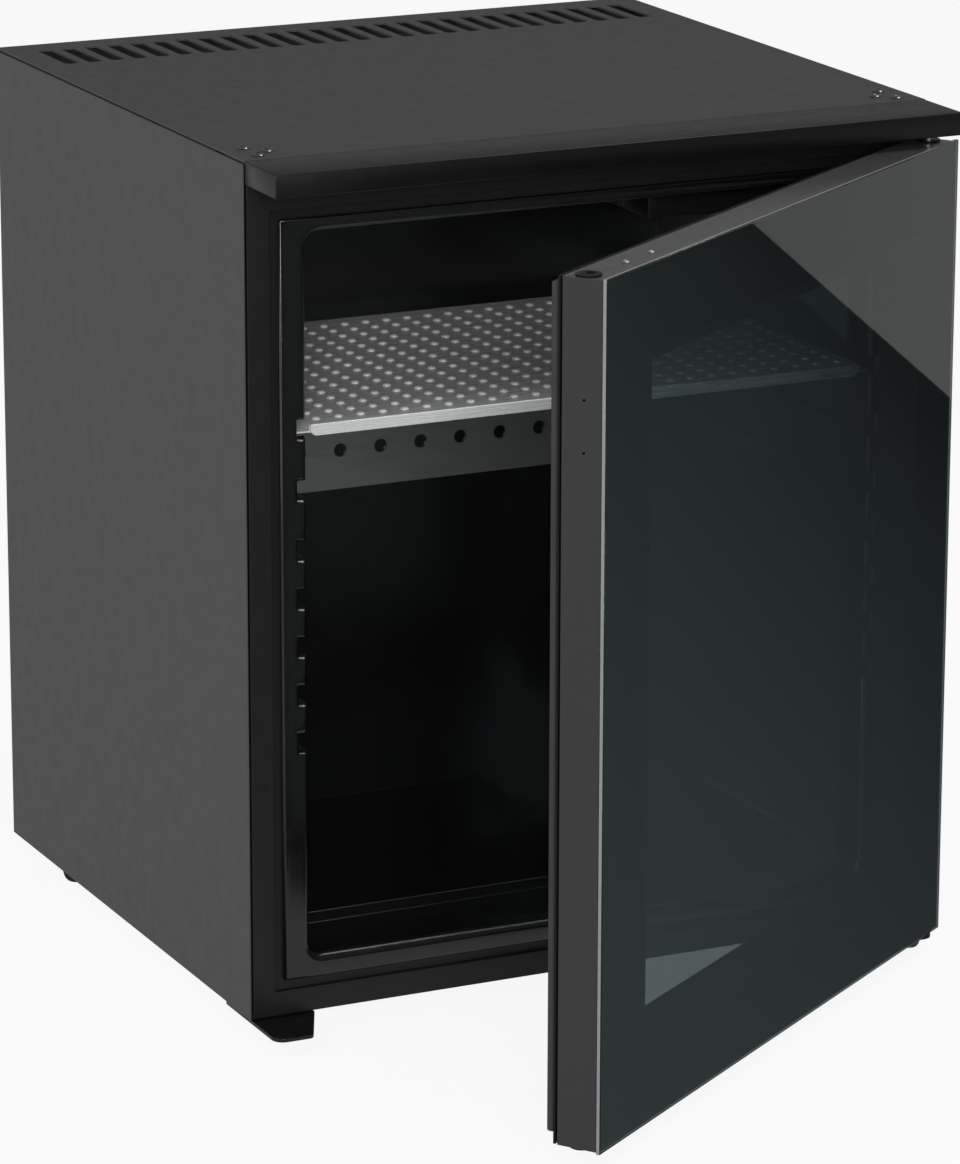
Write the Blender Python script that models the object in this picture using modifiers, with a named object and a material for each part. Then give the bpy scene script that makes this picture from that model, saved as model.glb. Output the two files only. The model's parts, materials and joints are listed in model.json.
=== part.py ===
# Minibar fridge with a glass door, an absorption cooling unit at its back and its door standing open.
# Metres, +Z up. In the cabinet's frame X runs across, Y from the front to the back, Z up from the floor.

import math

import bmesh
import bpy
from mathutils import Matrix, Vector

# Cabinet, overall
BODY_WIDTH = 0.474
BODY_DEPTH = 0.421
PANEL_HEIGHT = 0.553
FOOT_HEIGHT = 0.013
GAP = 0.0003  # left between pieces that touch

# Sheet metal
SIDE_SHEET = 0.0010
SIDE_BEND = 0.0025
SIDE_REAR_RETURN = 0.0120
TOP_SHEET = 0.0012
TOP_SEAM = 0.0008
TOP_FLANGE = 0.0070
TOP_REAR_FLANGE = 0.0300  # deep enough that no light is seen through the slots
BASE_SHEET = 0.0012
REAR_SHEET = 0.0010

# Vent slots in the top
VENT_COUNT = 27
VENT_PITCH = 0.01634
VENT_WIDTH = 0.0096
VENT_LENGTH = 0.0540
VENT_BACK_MARGIN = 0.0220
VENT_CORNER = 0.0024

# Trim over the door
TRIM_DEPTH = 0.0480
TRIM_HEIGHT = 0.0150
TRIM_WALL = 0.0030
TRIM_EDGE = 0.0010

# Front frame and its groove
FRAME_DEPTH = 0.0100
FRAME_SIDE = 0.0165
FRAME_BOTTOM = 0.0163
FRAME_TOP = 0.0325
GROOVE_WIDTH = 0.0060
GROOVE_DEPTH = 0.0040
LIP_UNDER = 0.0030

# Inner liner
OPENING_SIDE = 0.0410
OPENING_BOTTOM = 0.0375
OPENING_TOP = 0.0480
OPENING_CORNER = 0.0090
CAVITY_DEPTH = 0.2920
LINER_WALL = 0.0025
LINER_SIDE_WALL = 0.0075
TROUGH_DEPTH = 0.0075
TROUGH_FRONT = 0.0080
TROUGH_BACK = 0.0770
TROUGH_MARGIN = 0.0100

# Shelf guides in the liner's side walls
GUIDE_DEPTH = 0.0055
GUIDE_HEIGHT = 0.0105
GUIDE_FIRST = 0.1730  # above the bottom of the panels
GUIDE_LOW_PITCH = 0.0313
GUIDE_LOW_COUNT = 5
GUIDE_HIGH_PITCH = 0.0389
GUIDE_HIGH_COUNT = 2
GUIDE_REAR_STOP = 0.0120

# Shelf
SHELF_SHEET = 0.0012
SHELF_FRONT = 0.0055
SHELF_DEPTH = 0.2580
SHELF_SIDE_CLEARANCE = 0.0045
SHELF_TAB_BITE = 0.0045
SHELF_RISE = 0.0060
SHELF_LIP = 0.0075

# Insulation
REAR_FOAM = 0.0355

# Evaporator
PLATE_SHEET = 0.0015
PLATE_HALF_WIDTH = 0.1750
PLATE_DROP = 0.1810  # below the top
PLATE_HEIGHT = 0.1150
PLATE_HOLE_PITCH = 0.0300
PLATE_HOLE_RADIUS = 0.0048
PLATE_HOLE_COUNT = 10
PLATE_HOLE_RISE = 0.0270
BLOCK_HALF_WIDTH = 0.1000
BLOCK_DROP = 0.1860  # below the top
BLOCK_HEIGHT = 0.0740
BLOCK_DEPTH = 0.0320

# Lamp and thermostat housing under the ceiling
HOUSING_LEFT = 0.0500
HOUSING_WIDTH = 0.1200
HOUSING_FRONT = 0.0220
HOUSING_DEPTH = 0.0600
HOUSING_HEIGHT = 0.0180
LENS_WIDTH = 0.0600
LENS_DEPTH = 0.0300
LENS_HEIGHT = 0.0020
KNOB_RADIUS = 0.0100
KNOB_HEIGHT = 0.0070
KNOB_STEM_RADIUS = 0.0030
KNOB_STEM_LENGTH = 0.0060
KNOB_INSET = 0.0240
POINTER_WIDTH = 0.0022
POINTER_RISE = 0.0012

# Hinge brackets, pins and foot plates
BRACKET_SHEET = 0.0025
BRACKET_WIDTH = 0.0380
BRACKET_BACK = 0.0480
BRACKET_SIDE_GAP = 0.0030
PLATE_THICKNESS = 0.0025
PLATE_BACK = 0.0420
PLATE_FRONT = 0.0390
PLATE_WIDE = 0.0433
PLATE_NARROW = 0.0255
PLATE_CORNER = 0.0080
PIN_RADIUS = 0.0040
PIN_BITE = 0.0120
PIN_SLEEVE_RADIUS = 0.0060
PIN_SLEEVE_DROP = 0.0025
PIN_DOME_RADIUS = 0.0080
PIN_FLOOR_CLEARANCE = 0.0010
PIN_CLEARANCE = 0.0003

# Screws
TOP_SCREW_HEAD = 0.0040
TOP_SCREW_HEAD_HEIGHT = 0.0014
TOP_SCREW_SHANK = 0.0018
TOP_SCREW_LENGTH = 0.0070
TOP_SCREW_FROM_SIDE = 0.0145
TOP_SCREW_INNER_STEP = 0.0100
TOP_SCREW_FRONT = 0.0120
TOP_SCREW_MIDDLE = 0.0220
TOP_SCREW_REAR = 0.0355
SCREW_CLEARANCE = 0.0004
PLATE_SCREW_FROM_SIDE = 0.0310
PLATE_SCREW_BACK = 0.0200
RIVET_HEAD = 0.0032
RIVET_HEAD_HEIGHT = 0.0006  # low enough for the door to pass above it
RIVET_SHANK = 0.0015
RIVET_FROM_SIDE = 0.0263
RIVET_FRONT = 0.0130

# Feet
FOOT_RADIUS = 0.0100
FOOT_SOLE_RADIUS = 0.0050
FRONT_FOOT_FROM_SIDE = 0.0233
FRONT_FOOT_BACK = 0.0582
REAR_FOOT_FROM_SIDE = 0.0151
REAR_FOOT_FROM_BACK = 0.0810

# Door
DOOR_SIDE_MARGIN = 0.0010
DOOR_FLOOR = 0.0010  # above the bottom of the panels
DOOR_TRIM_GAP = 0.0060
DOOR_OPEN = 35.0
PIVOT_FROM_EDGE = 0.0095
PIVOT_FROM_GLASS = 0.0172
DOOR_CLOSED_GAP = 0.0005
GLASS = 0.0032
FRAME_INSET = 0.0010
DOOR_FRAME_DEPTH = 0.0260
WINDOW_SIDE = 0.0510
WINDOW_END = 0.0510
REBATE = 0.0100
REBATE_DEPTH = 0.0035
SPACER_WIDTH = 0.0075
NECK_INSET = 0.0032
NECK_DEPTH = 0.0010
RIB_DEPTH = 0.0017
SEAT_DEPTH = 0.0018
GASKET_DEPTH = 0.0052
GASKET_INSET = 0.0060
SEAT_STEP = 0.0015
GASKET_WIDTH = 0.0150
BUSH_RADIUS = 0.0065
BUSH_LENGTH = 0.0140
BUSH_FLANGE_RADIUS = 0.0078
BUSH_FLANGE = 0.0010
DOOR_SCREW_FIRST = 0.0500
DOOR_SCREW_STEP = 0.0310
DOOR_SCREW_HEAD = 0.0024
DOOR_SCREW_SHANK = 0.0012
HANDLE_HOLE_RADIUS = 0.0010
HANDLE_HOLE_DEPTH = 0.0080
HANDLE_HOLE_FROM_TOP = 0.0726
HANDLE_HOLE_STEP = 0.0312
HARDWARE_BEHIND = 0.0150  # behind the glass face

# Cooling unit
BOILER_RADIUS = 0.0330
BOILER_FROM_SIDE = 0.0720
BOILER_BOTTOM = 0.0700
BOILER_HEIGHT = 0.2300
HEATER_RADIUS = 0.0070
HEATER_LENGTH = 0.0220
RISER_RADIUS = 0.0080
TUBE_BEND = 0.0180
CONDENSER_RADIUS = 0.0110
CONDENSER_DROP = 0.0660  # below the top
CONDENSER_START = -0.1050
CONDENSER_END = 0.1600
FIN_SIZE = 0.0360
FIN_SHEET = 0.0008
FIN_COUNT = 18
FIN_PITCH = 0.0125
FEED_RADIUS = 0.0060
FEED_SIDE = 0.1800
FEED_INSET = 0.0230  # below the top of the evaporator block
FEED_HOLE_X = -0.0300
VESSEL_RADIUS = 0.0260
VESSEL_START = -0.1000
VESSEL_END = 0.1200
VESSEL_HEIGHT = 0.0750
VESSEL_DOME = 0.0080
COIL_RADIUS = 0.0070
COIL_HALF_SPAN = 0.0850
COIL_FIRST_RISE = 0.0340
COIL_EXIT_STEP = 0.0600
COIL_PASSES = 6
COIL_INSET = 0.0170  # above the foot of the evaporator block
TUBE_HOLE_CLEARANCE = 0.0010
CRADLE_SHEET = 0.0016
CRADLE_INSET = 0.0300
CRADLE_HALF_DEPTH = 0.0240

# Controls and drain at the back
CONTROL_FROM_SIDE = 0.0200
CONTROL_WIDTH = 0.0760
CONTROL_BOTTOM = 0.1300
CONTROL_HEIGHT = 0.1200
CONTROL_DEPTH = 0.0420
INLET_WIDTH = 0.0300
INLET_HEIGHT = 0.0240
INLET_DEPTH = 0.0140
INLET_WALL = 0.0030
DRAIN_RADIUS = 0.0050
DRAIN_FROM_SIDE = 0.0650
DRAIN_RISE = 0.0070
TRAY_WIDTH = 0.0740
TRAY_DEPTH = 0.0680
TRAY_HEIGHT = 0.0200
TRAY_WALL = 0.0015
SENSOR_RADIUS = 0.0045
SENSOR_LENGTH = 0.0240
SENSOR_BACK = 0.2200
SENSOR_RISE = 0.4200

# Levels and planes worked out from the sizes above
HALF = BODY_WIDTH / 2
BASE_Z = FOOT_HEIGHT
TOP_Z = FOOT_HEIGHT + PANEL_HEIGHT
TOP_UNDER = TOP_Z - TOP_SHEET
BRACKET_TOP = TOP_UNDER - 2 * GAP
BRACKET_BOTTOM = BRACKET_TOP - BRACKET_SHEET
FRAME_TOP_Z = BRACKET_BOTTOM - GAP
OPENING_HALF = HALF - OPENING_SIDE
FLOOR_Z = BASE_Z + OPENING_BOTTOM
CEILING_Z = TOP_Z - OPENING_TOP
TUB_HALF = OPENING_HALF + LINER_SIDE_WALL
TUB_BOTTOM = FLOOR_Z - TROUGH_DEPTH - LINER_WALL
TUB_TOP = CEILING_Z + LINER_WALL
TUB_BACK = CAVITY_DEPTH + LINER_WALL
BASE_TOP = BASE_Z + BASE_SHEET
FOAM_BACK = TUB_BACK + GAP + REAR_FOAM
REAR_FRONT = FOAM_BACK + GAP
REAR_BACK = REAR_FRONT + REAR_SHEET
SHEET_INNER = HALF - SIDE_SHEET - GAP
FRAME_HALF = SHEET_INNER
SHEET_BACK = BODY_DEPTH - SIDE_BEND - GAP
UNIT_Y = REAR_BACK + GAP + BOILER_RADIUS
PLATE_Z = TOP_Z - PLATE_DROP - PLATE_HEIGHT
BLOCK_TOP = TOP_Z - BLOCK_DROP
BLOCK_Z = BLOCK_TOP - BLOCK_HEIGHT
CONDENSER_Z = TOP_Z - CONDENSER_DROP
FEED_Z = BLOCK_TOP - FEED_INSET
COIL_EXIT_Z = BLOCK_Z + COIL_INSET
COIL_LAST_Z = COIL_EXIT_Z - COIL_EXIT_STEP
COIL_FIRST_Z = VESSEL_HEIGHT + VESSEL_RADIUS + COIL_FIRST_RISE
COIL_PITCH = (COIL_LAST_Z - COIL_FIRST_Z) / (COIL_PASSES - 1)
TRIM_BOTTOM = TOP_Z - TRIM_HEIGHT
PLATE_TOP = BASE_Z - GAP
DOOR_WIDTH = BODY_WIDTH - 2 * DOOR_SIDE_MARGIN
DOOR_BOTTOM = BASE_Z + DOOR_FLOOR
DOOR_TOP = TRIM_BOTTOM - DOOR_TRIM_GAP
DOOR_FRAME_FRONT = GLASS + GAP
DOOR_FRAME_BACK = DOOR_FRAME_FRONT + DOOR_FRAME_DEPTH
NECK_BACK = DOOR_FRAME_BACK + GAP + NECK_DEPTH
RIB_BACK = NECK_BACK + RIB_DEPTH
SEAT_BACK = RIB_BACK + SEAT_DEPTH
DOOR_BACK = SEAT_BACK + GAP + GASKET_DEPTH
PIVOT_X = HALF - DOOR_SIDE_MARGIN - PIVOT_FROM_EDGE
PIVOT_Y = -(DOOR_BACK - PIVOT_FROM_GLASS) - DOOR_CLOSED_GAP
OPEN_ANGLE = math.radians(DOOR_OPEN)

CUTTER_MARGIN = 0.0200
ROUND_STEPS = 24


def remove_all():
    for obj in list(bpy.data.objects):
        bpy.data.objects.remove(obj, do_unlink=True)


def make_collection(name):
    made = bpy.data.collections.new(name)
    bpy.context.scene.collection.children.link(made)
    return made


def make_material(name, colour, roughness, metallic=0.0, alpha=1.0):
    made = bpy.data.materials.new(name)
    made.use_nodes = True
    shader = made.node_tree.nodes["Principled BSDF"]
    shader.inputs["Base Color"].default_value = (*colour, 1.0)
    shader.inputs["Roughness"].default_value = roughness
    shader.inputs["Metallic"].default_value = metallic
    shader.inputs["Alpha"].default_value = alpha
    return made


remove_all()
PARTS = make_collection("minibar_fridge")
CUTTERS = make_collection("cutters")

PAINT = make_material("dark_grey_paint", (0.075, 0.077, 0.077), 0.45)
BLACK = make_material("black_plastic", (0.012, 0.012, 0.013), 0.40)
LINER = make_material("gloss_black_liner", (0.008, 0.008, 0.009), 0.22)
STEEL = make_material("bright_steel", (0.55, 0.55, 0.56), 0.35, 1.0)
BLACK_STEEL = make_material("black_steel", (0.020, 0.020, 0.022), 0.45, 0.3)
ALUMINIUM = make_material("brushed_aluminium", (0.70, 0.70, 0.71), 0.32, 1.0)
GREY_PLATE = make_material("grey_aluminium", (0.30, 0.30, 0.31), 0.38, 1.0)
GALVANISED = make_material("galvanised_steel", (0.42, 0.43, 0.44), 0.45, 0.9)
RUBBER = make_material("black_rubber", (0.015, 0.015, 0.015), 0.80)
GASKET = make_material("grey_gasket", (0.060, 0.060, 0.062), 0.70)
FOAM = make_material("insulation_foam", (0.75, 0.66, 0.42), 0.90)
SMOKED = make_material("smoked_glass", (0.030, 0.045, 0.045), 0.04, 0.0, 0.45)
CLEAR = make_material("clear_glass", (0.60, 0.68, 0.66), 0.03, 0.0, 0.35)
LENS = make_material("lamp_lens", (0.80, 0.82, 0.84), 0.30)
TUBE = make_material("black_tube", (0.018, 0.018, 0.020), 0.50, 0.2)

# The whole object hangs on one empty, which puts the middle of its footprint at the origin.
ROOT = bpy.data.objects.new("cabinet_frame", None)
PARTS.objects.link(ROOT)

# The door hangs on a second empty on its hinge axis, turned to the angle it stands open at.
DOOR = bpy.data.objects.new("door_axis", None)
PARTS.objects.link(DOOR)
DOOR.parent = ROOT
DOOR.location = (PIVOT_X, PIVOT_Y, 0.0)
DOOR.rotation_euler = (0.0, 0.0, OPEN_ANGLE)


# Shape helpers


def place(obj, location=(0, 0, 0), rotation=(0, 0, 0), parent=None):
    obj.location = location
    obj.rotation_euler = rotation
    obj.parent = parent or ROOT
    return obj


def object_from(bm, name, material=None):
    mesh = bpy.data.meshes.new(name)
    bm.to_mesh(mesh)
    bm.free()
    obj = bpy.data.objects.new(name, mesh)
    if material is None:
        CUTTERS.objects.link(obj)
        obj.hide_render = True
        obj.display_type = "WIRE"
    else:
        PARTS.objects.link(obj)
        mesh.materials.append(material)
    return obj


def smooth(obj, angle=35.0):
    obj.data.shade_smooth()
    obj.data.set_sharp_from_angle(angle=math.radians(angle))
    return obj


def box(name, low, high, material=None, parent=None, bevel=0.0, segments=2):
    low, high = Vector(low), Vector(high)
    bm = bmesh.new()
    bmesh.ops.create_cube(bm, size=1.0)
    bmesh.ops.scale(bm, vec=high - low, verts=bm.verts)
    obj = object_from(bm, name, material)
    place(obj, (low + high) / 2, parent=parent)
    if bevel:
        add_bevel(obj, bevel, segments)
    return obj


def cylinder(name, radius, length, centre, axis="Z", material=None, parent=None, steps=ROUND_STEPS):
    bm = bmesh.new()
    bmesh.ops.create_cone(
        bm, cap_ends=True, segments=steps, radius1=radius, radius2=radius, depth=length
    )
    turn = {"Z": (0, 0, 0), "X": (0, math.pi / 2, 0), "Y": (math.pi / 2, 0, 0)}[axis]
    obj = object_from(bm, name, material)
    place(obj, centre, turn, parent)
    if material:
        smooth(obj)
    return obj


def add_bevel(obj, width, segments=2):
    made = obj.modifiers.new("rounded edges", "BEVEL")
    made.width = width
    made.segments = segments
    made.limit_method = "ANGLE"
    made.angle_limit = math.radians(40)
    return obj


def cut(obj, *cutters):
    for cutter in cutters:
        made = obj.modifiers.new("cut " + cutter.name, "BOOLEAN")
        made.operation = "DIFFERENCE"
        made.object = cutter
    return obj


def join(obj, *others):
    for other in others:
        made = obj.modifiers.new("join " + other.name, "BOOLEAN")
        made.operation = "UNION"
        made.object = other
    return obj


def round_corners(points, radius, segments=4, closed=True):
    """Replaces each corner of an outline or a route with an arc of the given radius."""
    points = [Vector(p) for p in points]
    radii = radius if isinstance(radius, (list, tuple)) else [radius] * len(points)
    made = []
    for i, corner in enumerate(points):
        end = not closed and i in (0, len(points) - 1)
        if end or radii[i] <= 0:
            made.append(corner)
            continue
        before = (points[i - 1] - corner).normalized()
        after = (points[(i + 1) % len(points)] - corner).normalized()
        inner = before.angle(after)
        sweep = math.pi - inner
        start = corner + before * (radii[i] / math.tan(inner / 2))
        stop = corner + after * (radii[i] / math.tan(inner / 2))
        centre = corner + (before + after).normalized() * (radii[i] / math.sin(inner / 2))
        a, b = start - centre, stop - centre
        for k in range(segments + 1):
            t = k / segments
            turned = (a * math.sin((1 - t) * sweep) + b * math.sin(t * sweep)) / math.sin(sweep)
            made.append(centre + turned)
    return made


def rectangle(half_width, half_height):
    return [
        (-half_width, -half_height),
        (half_width, -half_height),
        (half_width, half_height),
        (-half_width, half_height),
    ]


def flat_mesh(name, loops, thickness, material=None):
    """A flat outline, with holes where further loops lie inside the first, as a closed mesh."""
    data = bpy.data.curves.new(name + " outline", "CURVE")
    data.dimensions = "2D"
    data.fill_mode = "BOTH"
    data.extrude = thickness / 2
    for loop in loops:
        spline = data.splines.new("POLY")
        spline.points.add(len(loop) - 1)
        for point, p in zip(spline.points, loop):
            point.co = (p[0], p[1], 0.0, 1.0)
        spline.use_cyclic_u = True
    outline = bpy.data.objects.new(name + " outline", data)
    PARTS.objects.link(outline)
    depsgraph = bpy.context.evaluated_depsgraph_get()
    mesh = bpy.data.meshes.new_from_object(outline.evaluated_get(depsgraph))
    bpy.data.objects.remove(outline)
    bpy.data.curves.remove(data)
    bm = bmesh.new()
    bm.from_mesh(mesh)
    bpy.data.meshes.remove(mesh)
    bmesh.ops.remove_doubles(bm, verts=bm.verts, dist=0.000001)
    bmesh.ops.recalc_face_normals(bm, faces=bm.faces)
    return object_from(bm, name, material)


def upright(obj, x, front, back, z, parent=None):
    """Stands a flat solid up in the XZ plane, its thickness between two planes of Y."""
    return place(obj, (x, (front + back) / 2, z), (math.pi / 2, 0, 0), parent)


def ring(name, outer, inner, front, back, material=None, parent=None, corner=0.0, inner_corner=0.0):
    """A rectangular ring in the XZ plane; outer and inner are (left, right, bottom, top)."""
    loops = []
    for (left, right, bottom, top), radius in ((outer, corner), (inner, inner_corner)):
        points = [(left, bottom), (right, bottom), (right, top), (left, top)]
        loops.append(round_corners([(*p, 0) for p in points], radius))
    obj = flat_mesh(name, loops, back - front, material)
    return upright(obj, 0, front, back, 0, parent)


def bent_sheet(name, path, bottom, top, thickness, material, inward=1.0):
    """A sheet bent along a path in plan and standing between two heights."""
    bm = bmesh.new()
    verts = [bm.verts.new((p.x, p.y, bottom)) for p in path]
    edges = [bm.edges.new(pair) for pair in zip(verts, verts[1:])]
    raised = bmesh.ops.extrude_edge_only(bm, edges=edges)["geom"]
    upper = [v for v in raised if isinstance(v, bmesh.types.BMVert)]
    bmesh.ops.translate(bm, verts=upper, vec=(0, 0, top - bottom))
    obj = place(object_from(bm, name, material))
    made = obj.modifiers.new("sheet", "SOLIDIFY")
    made.thickness = thickness
    made.offset = inward
    made.use_even_offset = True
    return smooth(obj)


def turned(name, profile, material, location, parent=None, turn=(0, 0, 0), steps=ROUND_STEPS):
    """A turned piece; its profile of (radius, height) runs down the outside from top to bottom."""
    bm = bmesh.new()
    verts = [bm.verts.new((radius, 0.0, height)) for radius, height in profile]
    for pair in zip(verts, verts[1:]):
        bm.edges.new(pair)
    obj = place(object_from(bm, name, material), location, turn, parent)
    made = obj.modifiers.new("turn", "SCREW")
    made.steps = steps
    made.render_steps = steps
    made.use_merge_vertices = True
    made.merge_threshold = 0.00001
    return smooth(obj)


def bored(name, profile, material, location, parent=None, turn=(0, 0, 0), steps=ROUND_STEPS):
    """A turned ring: the profile is closed round its bore."""
    return turned(name, [*profile, profile[0]], material, location, parent, turn, steps)


def dome_profile(radius, top, bottom, sole, steps=5):
    """Half outline of a dome that stands on a flat sole and has a flat top."""
    made = [(0.0, top), (radius, top)]
    for k in range(1, steps + 1):
        angle = (math.pi / 2) * k / steps
        made.append((sole + (radius - sole) * math.cos(angle), top - (top - bottom) * math.sin(angle)))
    made.append((0.0, bottom))
    return made


def tube(name, route, radius, material, resolution=2, parent=None):
    data = bpy.data.curves.new(name, "CURVE")
    data.dimensions = "3D"
    data.bevel_depth = radius
    data.bevel_resolution = resolution
    data.use_fill_caps = True
    spline = data.splines.new("POLY")
    spline.points.add(len(route) - 1)
    for point, p in zip(spline.points, route):
        point.co = (*p, 1.0)
    spline.use_smooth = True
    obj = bpy.data.objects.new(name, data)
    PARTS.objects.link(obj)
    data.materials.append(material)
    return place(obj, parent=parent)


def least_self_gap(route, radius):
    """Smallest clear distance between two stretches of a tube that are not next to each other."""
    least = math.inf
    lengths = [0.0]
    for a, b in zip(route, route[1:]):
        lengths.append(lengths[-1] + (b - a).length)
    for i, a in enumerate(route):
        for j in range(i + 1, len(route)):
            if lengths[j] - lengths[i] > math.pi * COIL_PITCH / 2:
                least = min(least, (route[j] - a).length - 2 * radius)
    return least


# Cabinet shell


def make_side_panel(name, side):
    path = [
        (side * HALF, 0.0, 0.0),
        (side * HALF, BODY_DEPTH, 0.0),
        (side * (HALF - SIDE_REAR_RETURN), BODY_DEPTH, 0.0),
    ]
    route = round_corners(path, SIDE_BEND, segments=4, closed=False)
    side_top = TOP_UNDER - TOP_SEAM
    bent_sheet(name, route, BASE_Z, side_top, SIDE_SHEET, PAINT, inward=side)


def vent_cutter():
    """One closed prism for each slot, in one row across the back of the top."""
    loop = round_corners(
        [(*p, 0) for p in rectangle(VENT_WIDTH / 2, VENT_LENGTH / 2)], VENT_CORNER, segments=2
    )
    first = -(VENT_COUNT - 1) / 2 * VENT_PITCH
    loops = []
    for i in range(VENT_COUNT):
        loops.append([(p.x + first + i * VENT_PITCH, p.y) for p in loop])
    cutter = flat_mesh("vent slots", loops, 2 * CUTTER_MARGIN)
    return place(cutter, (0, BODY_DEPTH - VENT_BACK_MARGIN - VENT_LENGTH / 2, TOP_Z))


def screw_places():
    """The three screws over each top bracket, as (distance from the side, distance from the front)."""
    return {
        "front": (TOP_SCREW_FROM_SIDE, TOP_SCREW_FRONT),
        "inner": (TOP_SCREW_FROM_SIDE + TOP_SCREW_INNER_STEP, TOP_SCREW_MIDDLE),
        "rear": (TOP_SCREW_FROM_SIDE, TOP_SCREW_REAR),
    }


def top_screw_holes(side):
    radius = TOP_SCREW_SHANK + SCREW_CLEARANCE
    made = []
    for place_name, (from_side, back) in screw_places().items():
        made.append(
            cylinder(
                f"{place_name} screw hole {side:+.0f}",
                radius,
                2 * CUTTER_MARGIN,
                (side * (HALF - from_side), back, TOP_Z),
                steps=12,
            )
        )
    return made


def make_top_panel():
    flange_out = SHEET_INNER
    flange_in = flange_out - SIDE_SHEET
    flange_bottom = TOP_UNDER - TOP_FLANGE
    overlap = TOP_SHEET / 3
    panel = box("top_panel", (-HALF, 0.0, TOP_UNDER), (HALF, BODY_DEPTH, TOP_Z), PAINT)
    for side in (-1, 1):
        left, right = sorted((side * flange_in, side * flange_out))
        join(
            panel,
            box(
                f"top flange {side:+d}",
                (left, BRACKET_BACK + GAP, flange_bottom),
                (right, SHEET_BACK, TOP_UNDER + overlap),
            ),
        )
    join(
        panel,
        box(
            "top rear flange",
            (-flange_in - overlap, SHEET_BACK - SIDE_SHEET, TOP_UNDER - TOP_REAR_FLANGE),
            (flange_in + overlap, SHEET_BACK, TOP_UNDER + overlap),
        ),
    )
    cut(panel, vent_cutter(), *top_screw_holes(-1), *top_screw_holes(1))


def make_top_trim():
    roof = BRACKET_TOP + GAP
    trim = box(
        "top_trim",
        (-HALF, -TRIM_DEPTH, TRIM_BOTTOM),
        (HALF, -GAP, TOP_Z),
        BLACK,
        bevel=TRIM_EDGE,
        segments=2,
    )
    hollow = box(
        "trim hollow",
        (-HALF + TRIM_WALL, -TRIM_DEPTH + TRIM_WALL, TRIM_BOTTOM - CUTTER_MARGIN),
        (HALF - TRIM_WALL, CUTTER_MARGIN, roof),
    )
    cut(trim, hollow)


def make_front_frame():
    outer = (-FRAME_HALF, FRAME_HALF, BASE_Z + GAP, FRAME_TOP_Z)
    under = GROOVE_WIDTH + LIP_UNDER
    inner = (
        -HALF + FRAME_SIDE + under,
        HALF - FRAME_SIDE - under,
        BASE_Z + FRAME_BOTTOM + under,
        TOP_Z - FRAME_TOP - under,
    )
    frame = ring("front_frame", outer, inner, 0.0, FRAME_DEPTH, BLACK_STEEL)
    groove = box(
        "frame groove",
        (-HALF + FRAME_SIDE, -CUTTER_MARGIN, BASE_Z + FRAME_BOTTOM),
        (HALF - FRAME_SIDE, GROOVE_DEPTH, TOP_Z - FRAME_TOP),
    )
    cut(frame, groove)


def make_base_pan():
    pan = box(
        "base_pan",
        (-SHEET_INNER, FRAME_DEPTH + GAP, BASE_Z),
        (SHEET_INNER, SHEET_BACK, BASE_TOP),
        GALVANISED,
    )
    for side in (-1, 1):
        cut(pan, cylinder(f"plate screw hole {side:+d}", *plate_screw_hole(side), steps=12))


def plate_screw_hole(side):
    centre = (side * (HALF - PLATE_SCREW_FROM_SIDE), PLATE_SCREW_BACK, BASE_Z)
    return TOP_SCREW_SHANK + SCREW_CLEARANCE, 2 * CUTTER_MARGIN, centre


def tube_holes():
    """Where the two refrigerant tubes and the drain pass through the back."""
    return {
        "feed": (FEED_RADIUS, FEED_HOLE_X, FEED_Z),
        "return": (COIL_RADIUS, COIL_HALF_SPAN, COIL_EXIT_Z),
        "drain": (DRAIN_RADIUS, HALF - DRAIN_FROM_SIDE, FLOOR_Z + DRAIN_RISE),
    }


def tube_cutters(label, front, back):
    made = []
    for hole, (radius, x, z) in tube_holes().items():
        made.append(
            cylinder(
                f"{label} {hole} hole",
                radius + TUBE_HOLE_CLEARANCE,
                back - front,
                (x, (front + back) / 2, z),
                axis="Y",
                steps=16,
            )
        )
    return made


def make_rear_panel():
    panel = box(
        "rear_panel",
        (-SHEET_INNER, REAR_FRONT, BASE_TOP + GAP),
        (SHEET_INNER, REAR_BACK, TOP_UNDER - TOP_FLANGE - GAP),
        GALVANISED,
    )
    cut(panel, *tube_cutters("panel", REAR_FRONT - CUTTER_MARGIN, REAR_BACK + CUTTER_MARGIN))


def make_foam():
    foam_top = TOP_UNDER - TOP_FLANGE - GAP
    front = FRAME_DEPTH + GAP
    foam = box(
        "insulation_foam", (-SHEET_INNER, front, BASE_TOP + GAP), (SHEET_INNER, FOAM_BACK, foam_top), FOAM
    )
    pocket = box(
        "liner pocket",
        (-TUB_HALF - GAP, -CUTTER_MARGIN, TUB_BOTTOM - GAP),
        (TUB_HALF + GAP, TUB_BACK + GAP, TUB_TOP + GAP),
    )
    block_room = box(
        "evaporator pocket",
        (-BLOCK_HALF_WIDTH - GAP, CAVITY_DEPTH, BLOCK_Z - GAP),
        (
            BLOCK_HALF_WIDTH + GAP,
            CAVITY_DEPTH + BLOCK_DEPTH + GAP,
            BLOCK_TOP + GAP,
        ),
    )
    cut(foam, pocket, block_room, *tube_cutters("foam", CAVITY_DEPTH, FOAM_BACK + CUTTER_MARGIN))


# Liner and what stands in it


def guide_levels():
    low = [GUIDE_FIRST + i * GUIDE_LOW_PITCH for i in range(GUIDE_LOW_COUNT)]
    high = [low[-1] + (j + 1) * GUIDE_HIGH_PITCH for j in range(GUIDE_HIGH_COUNT)]
    return [BASE_Z + level for level in low + high]


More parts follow.
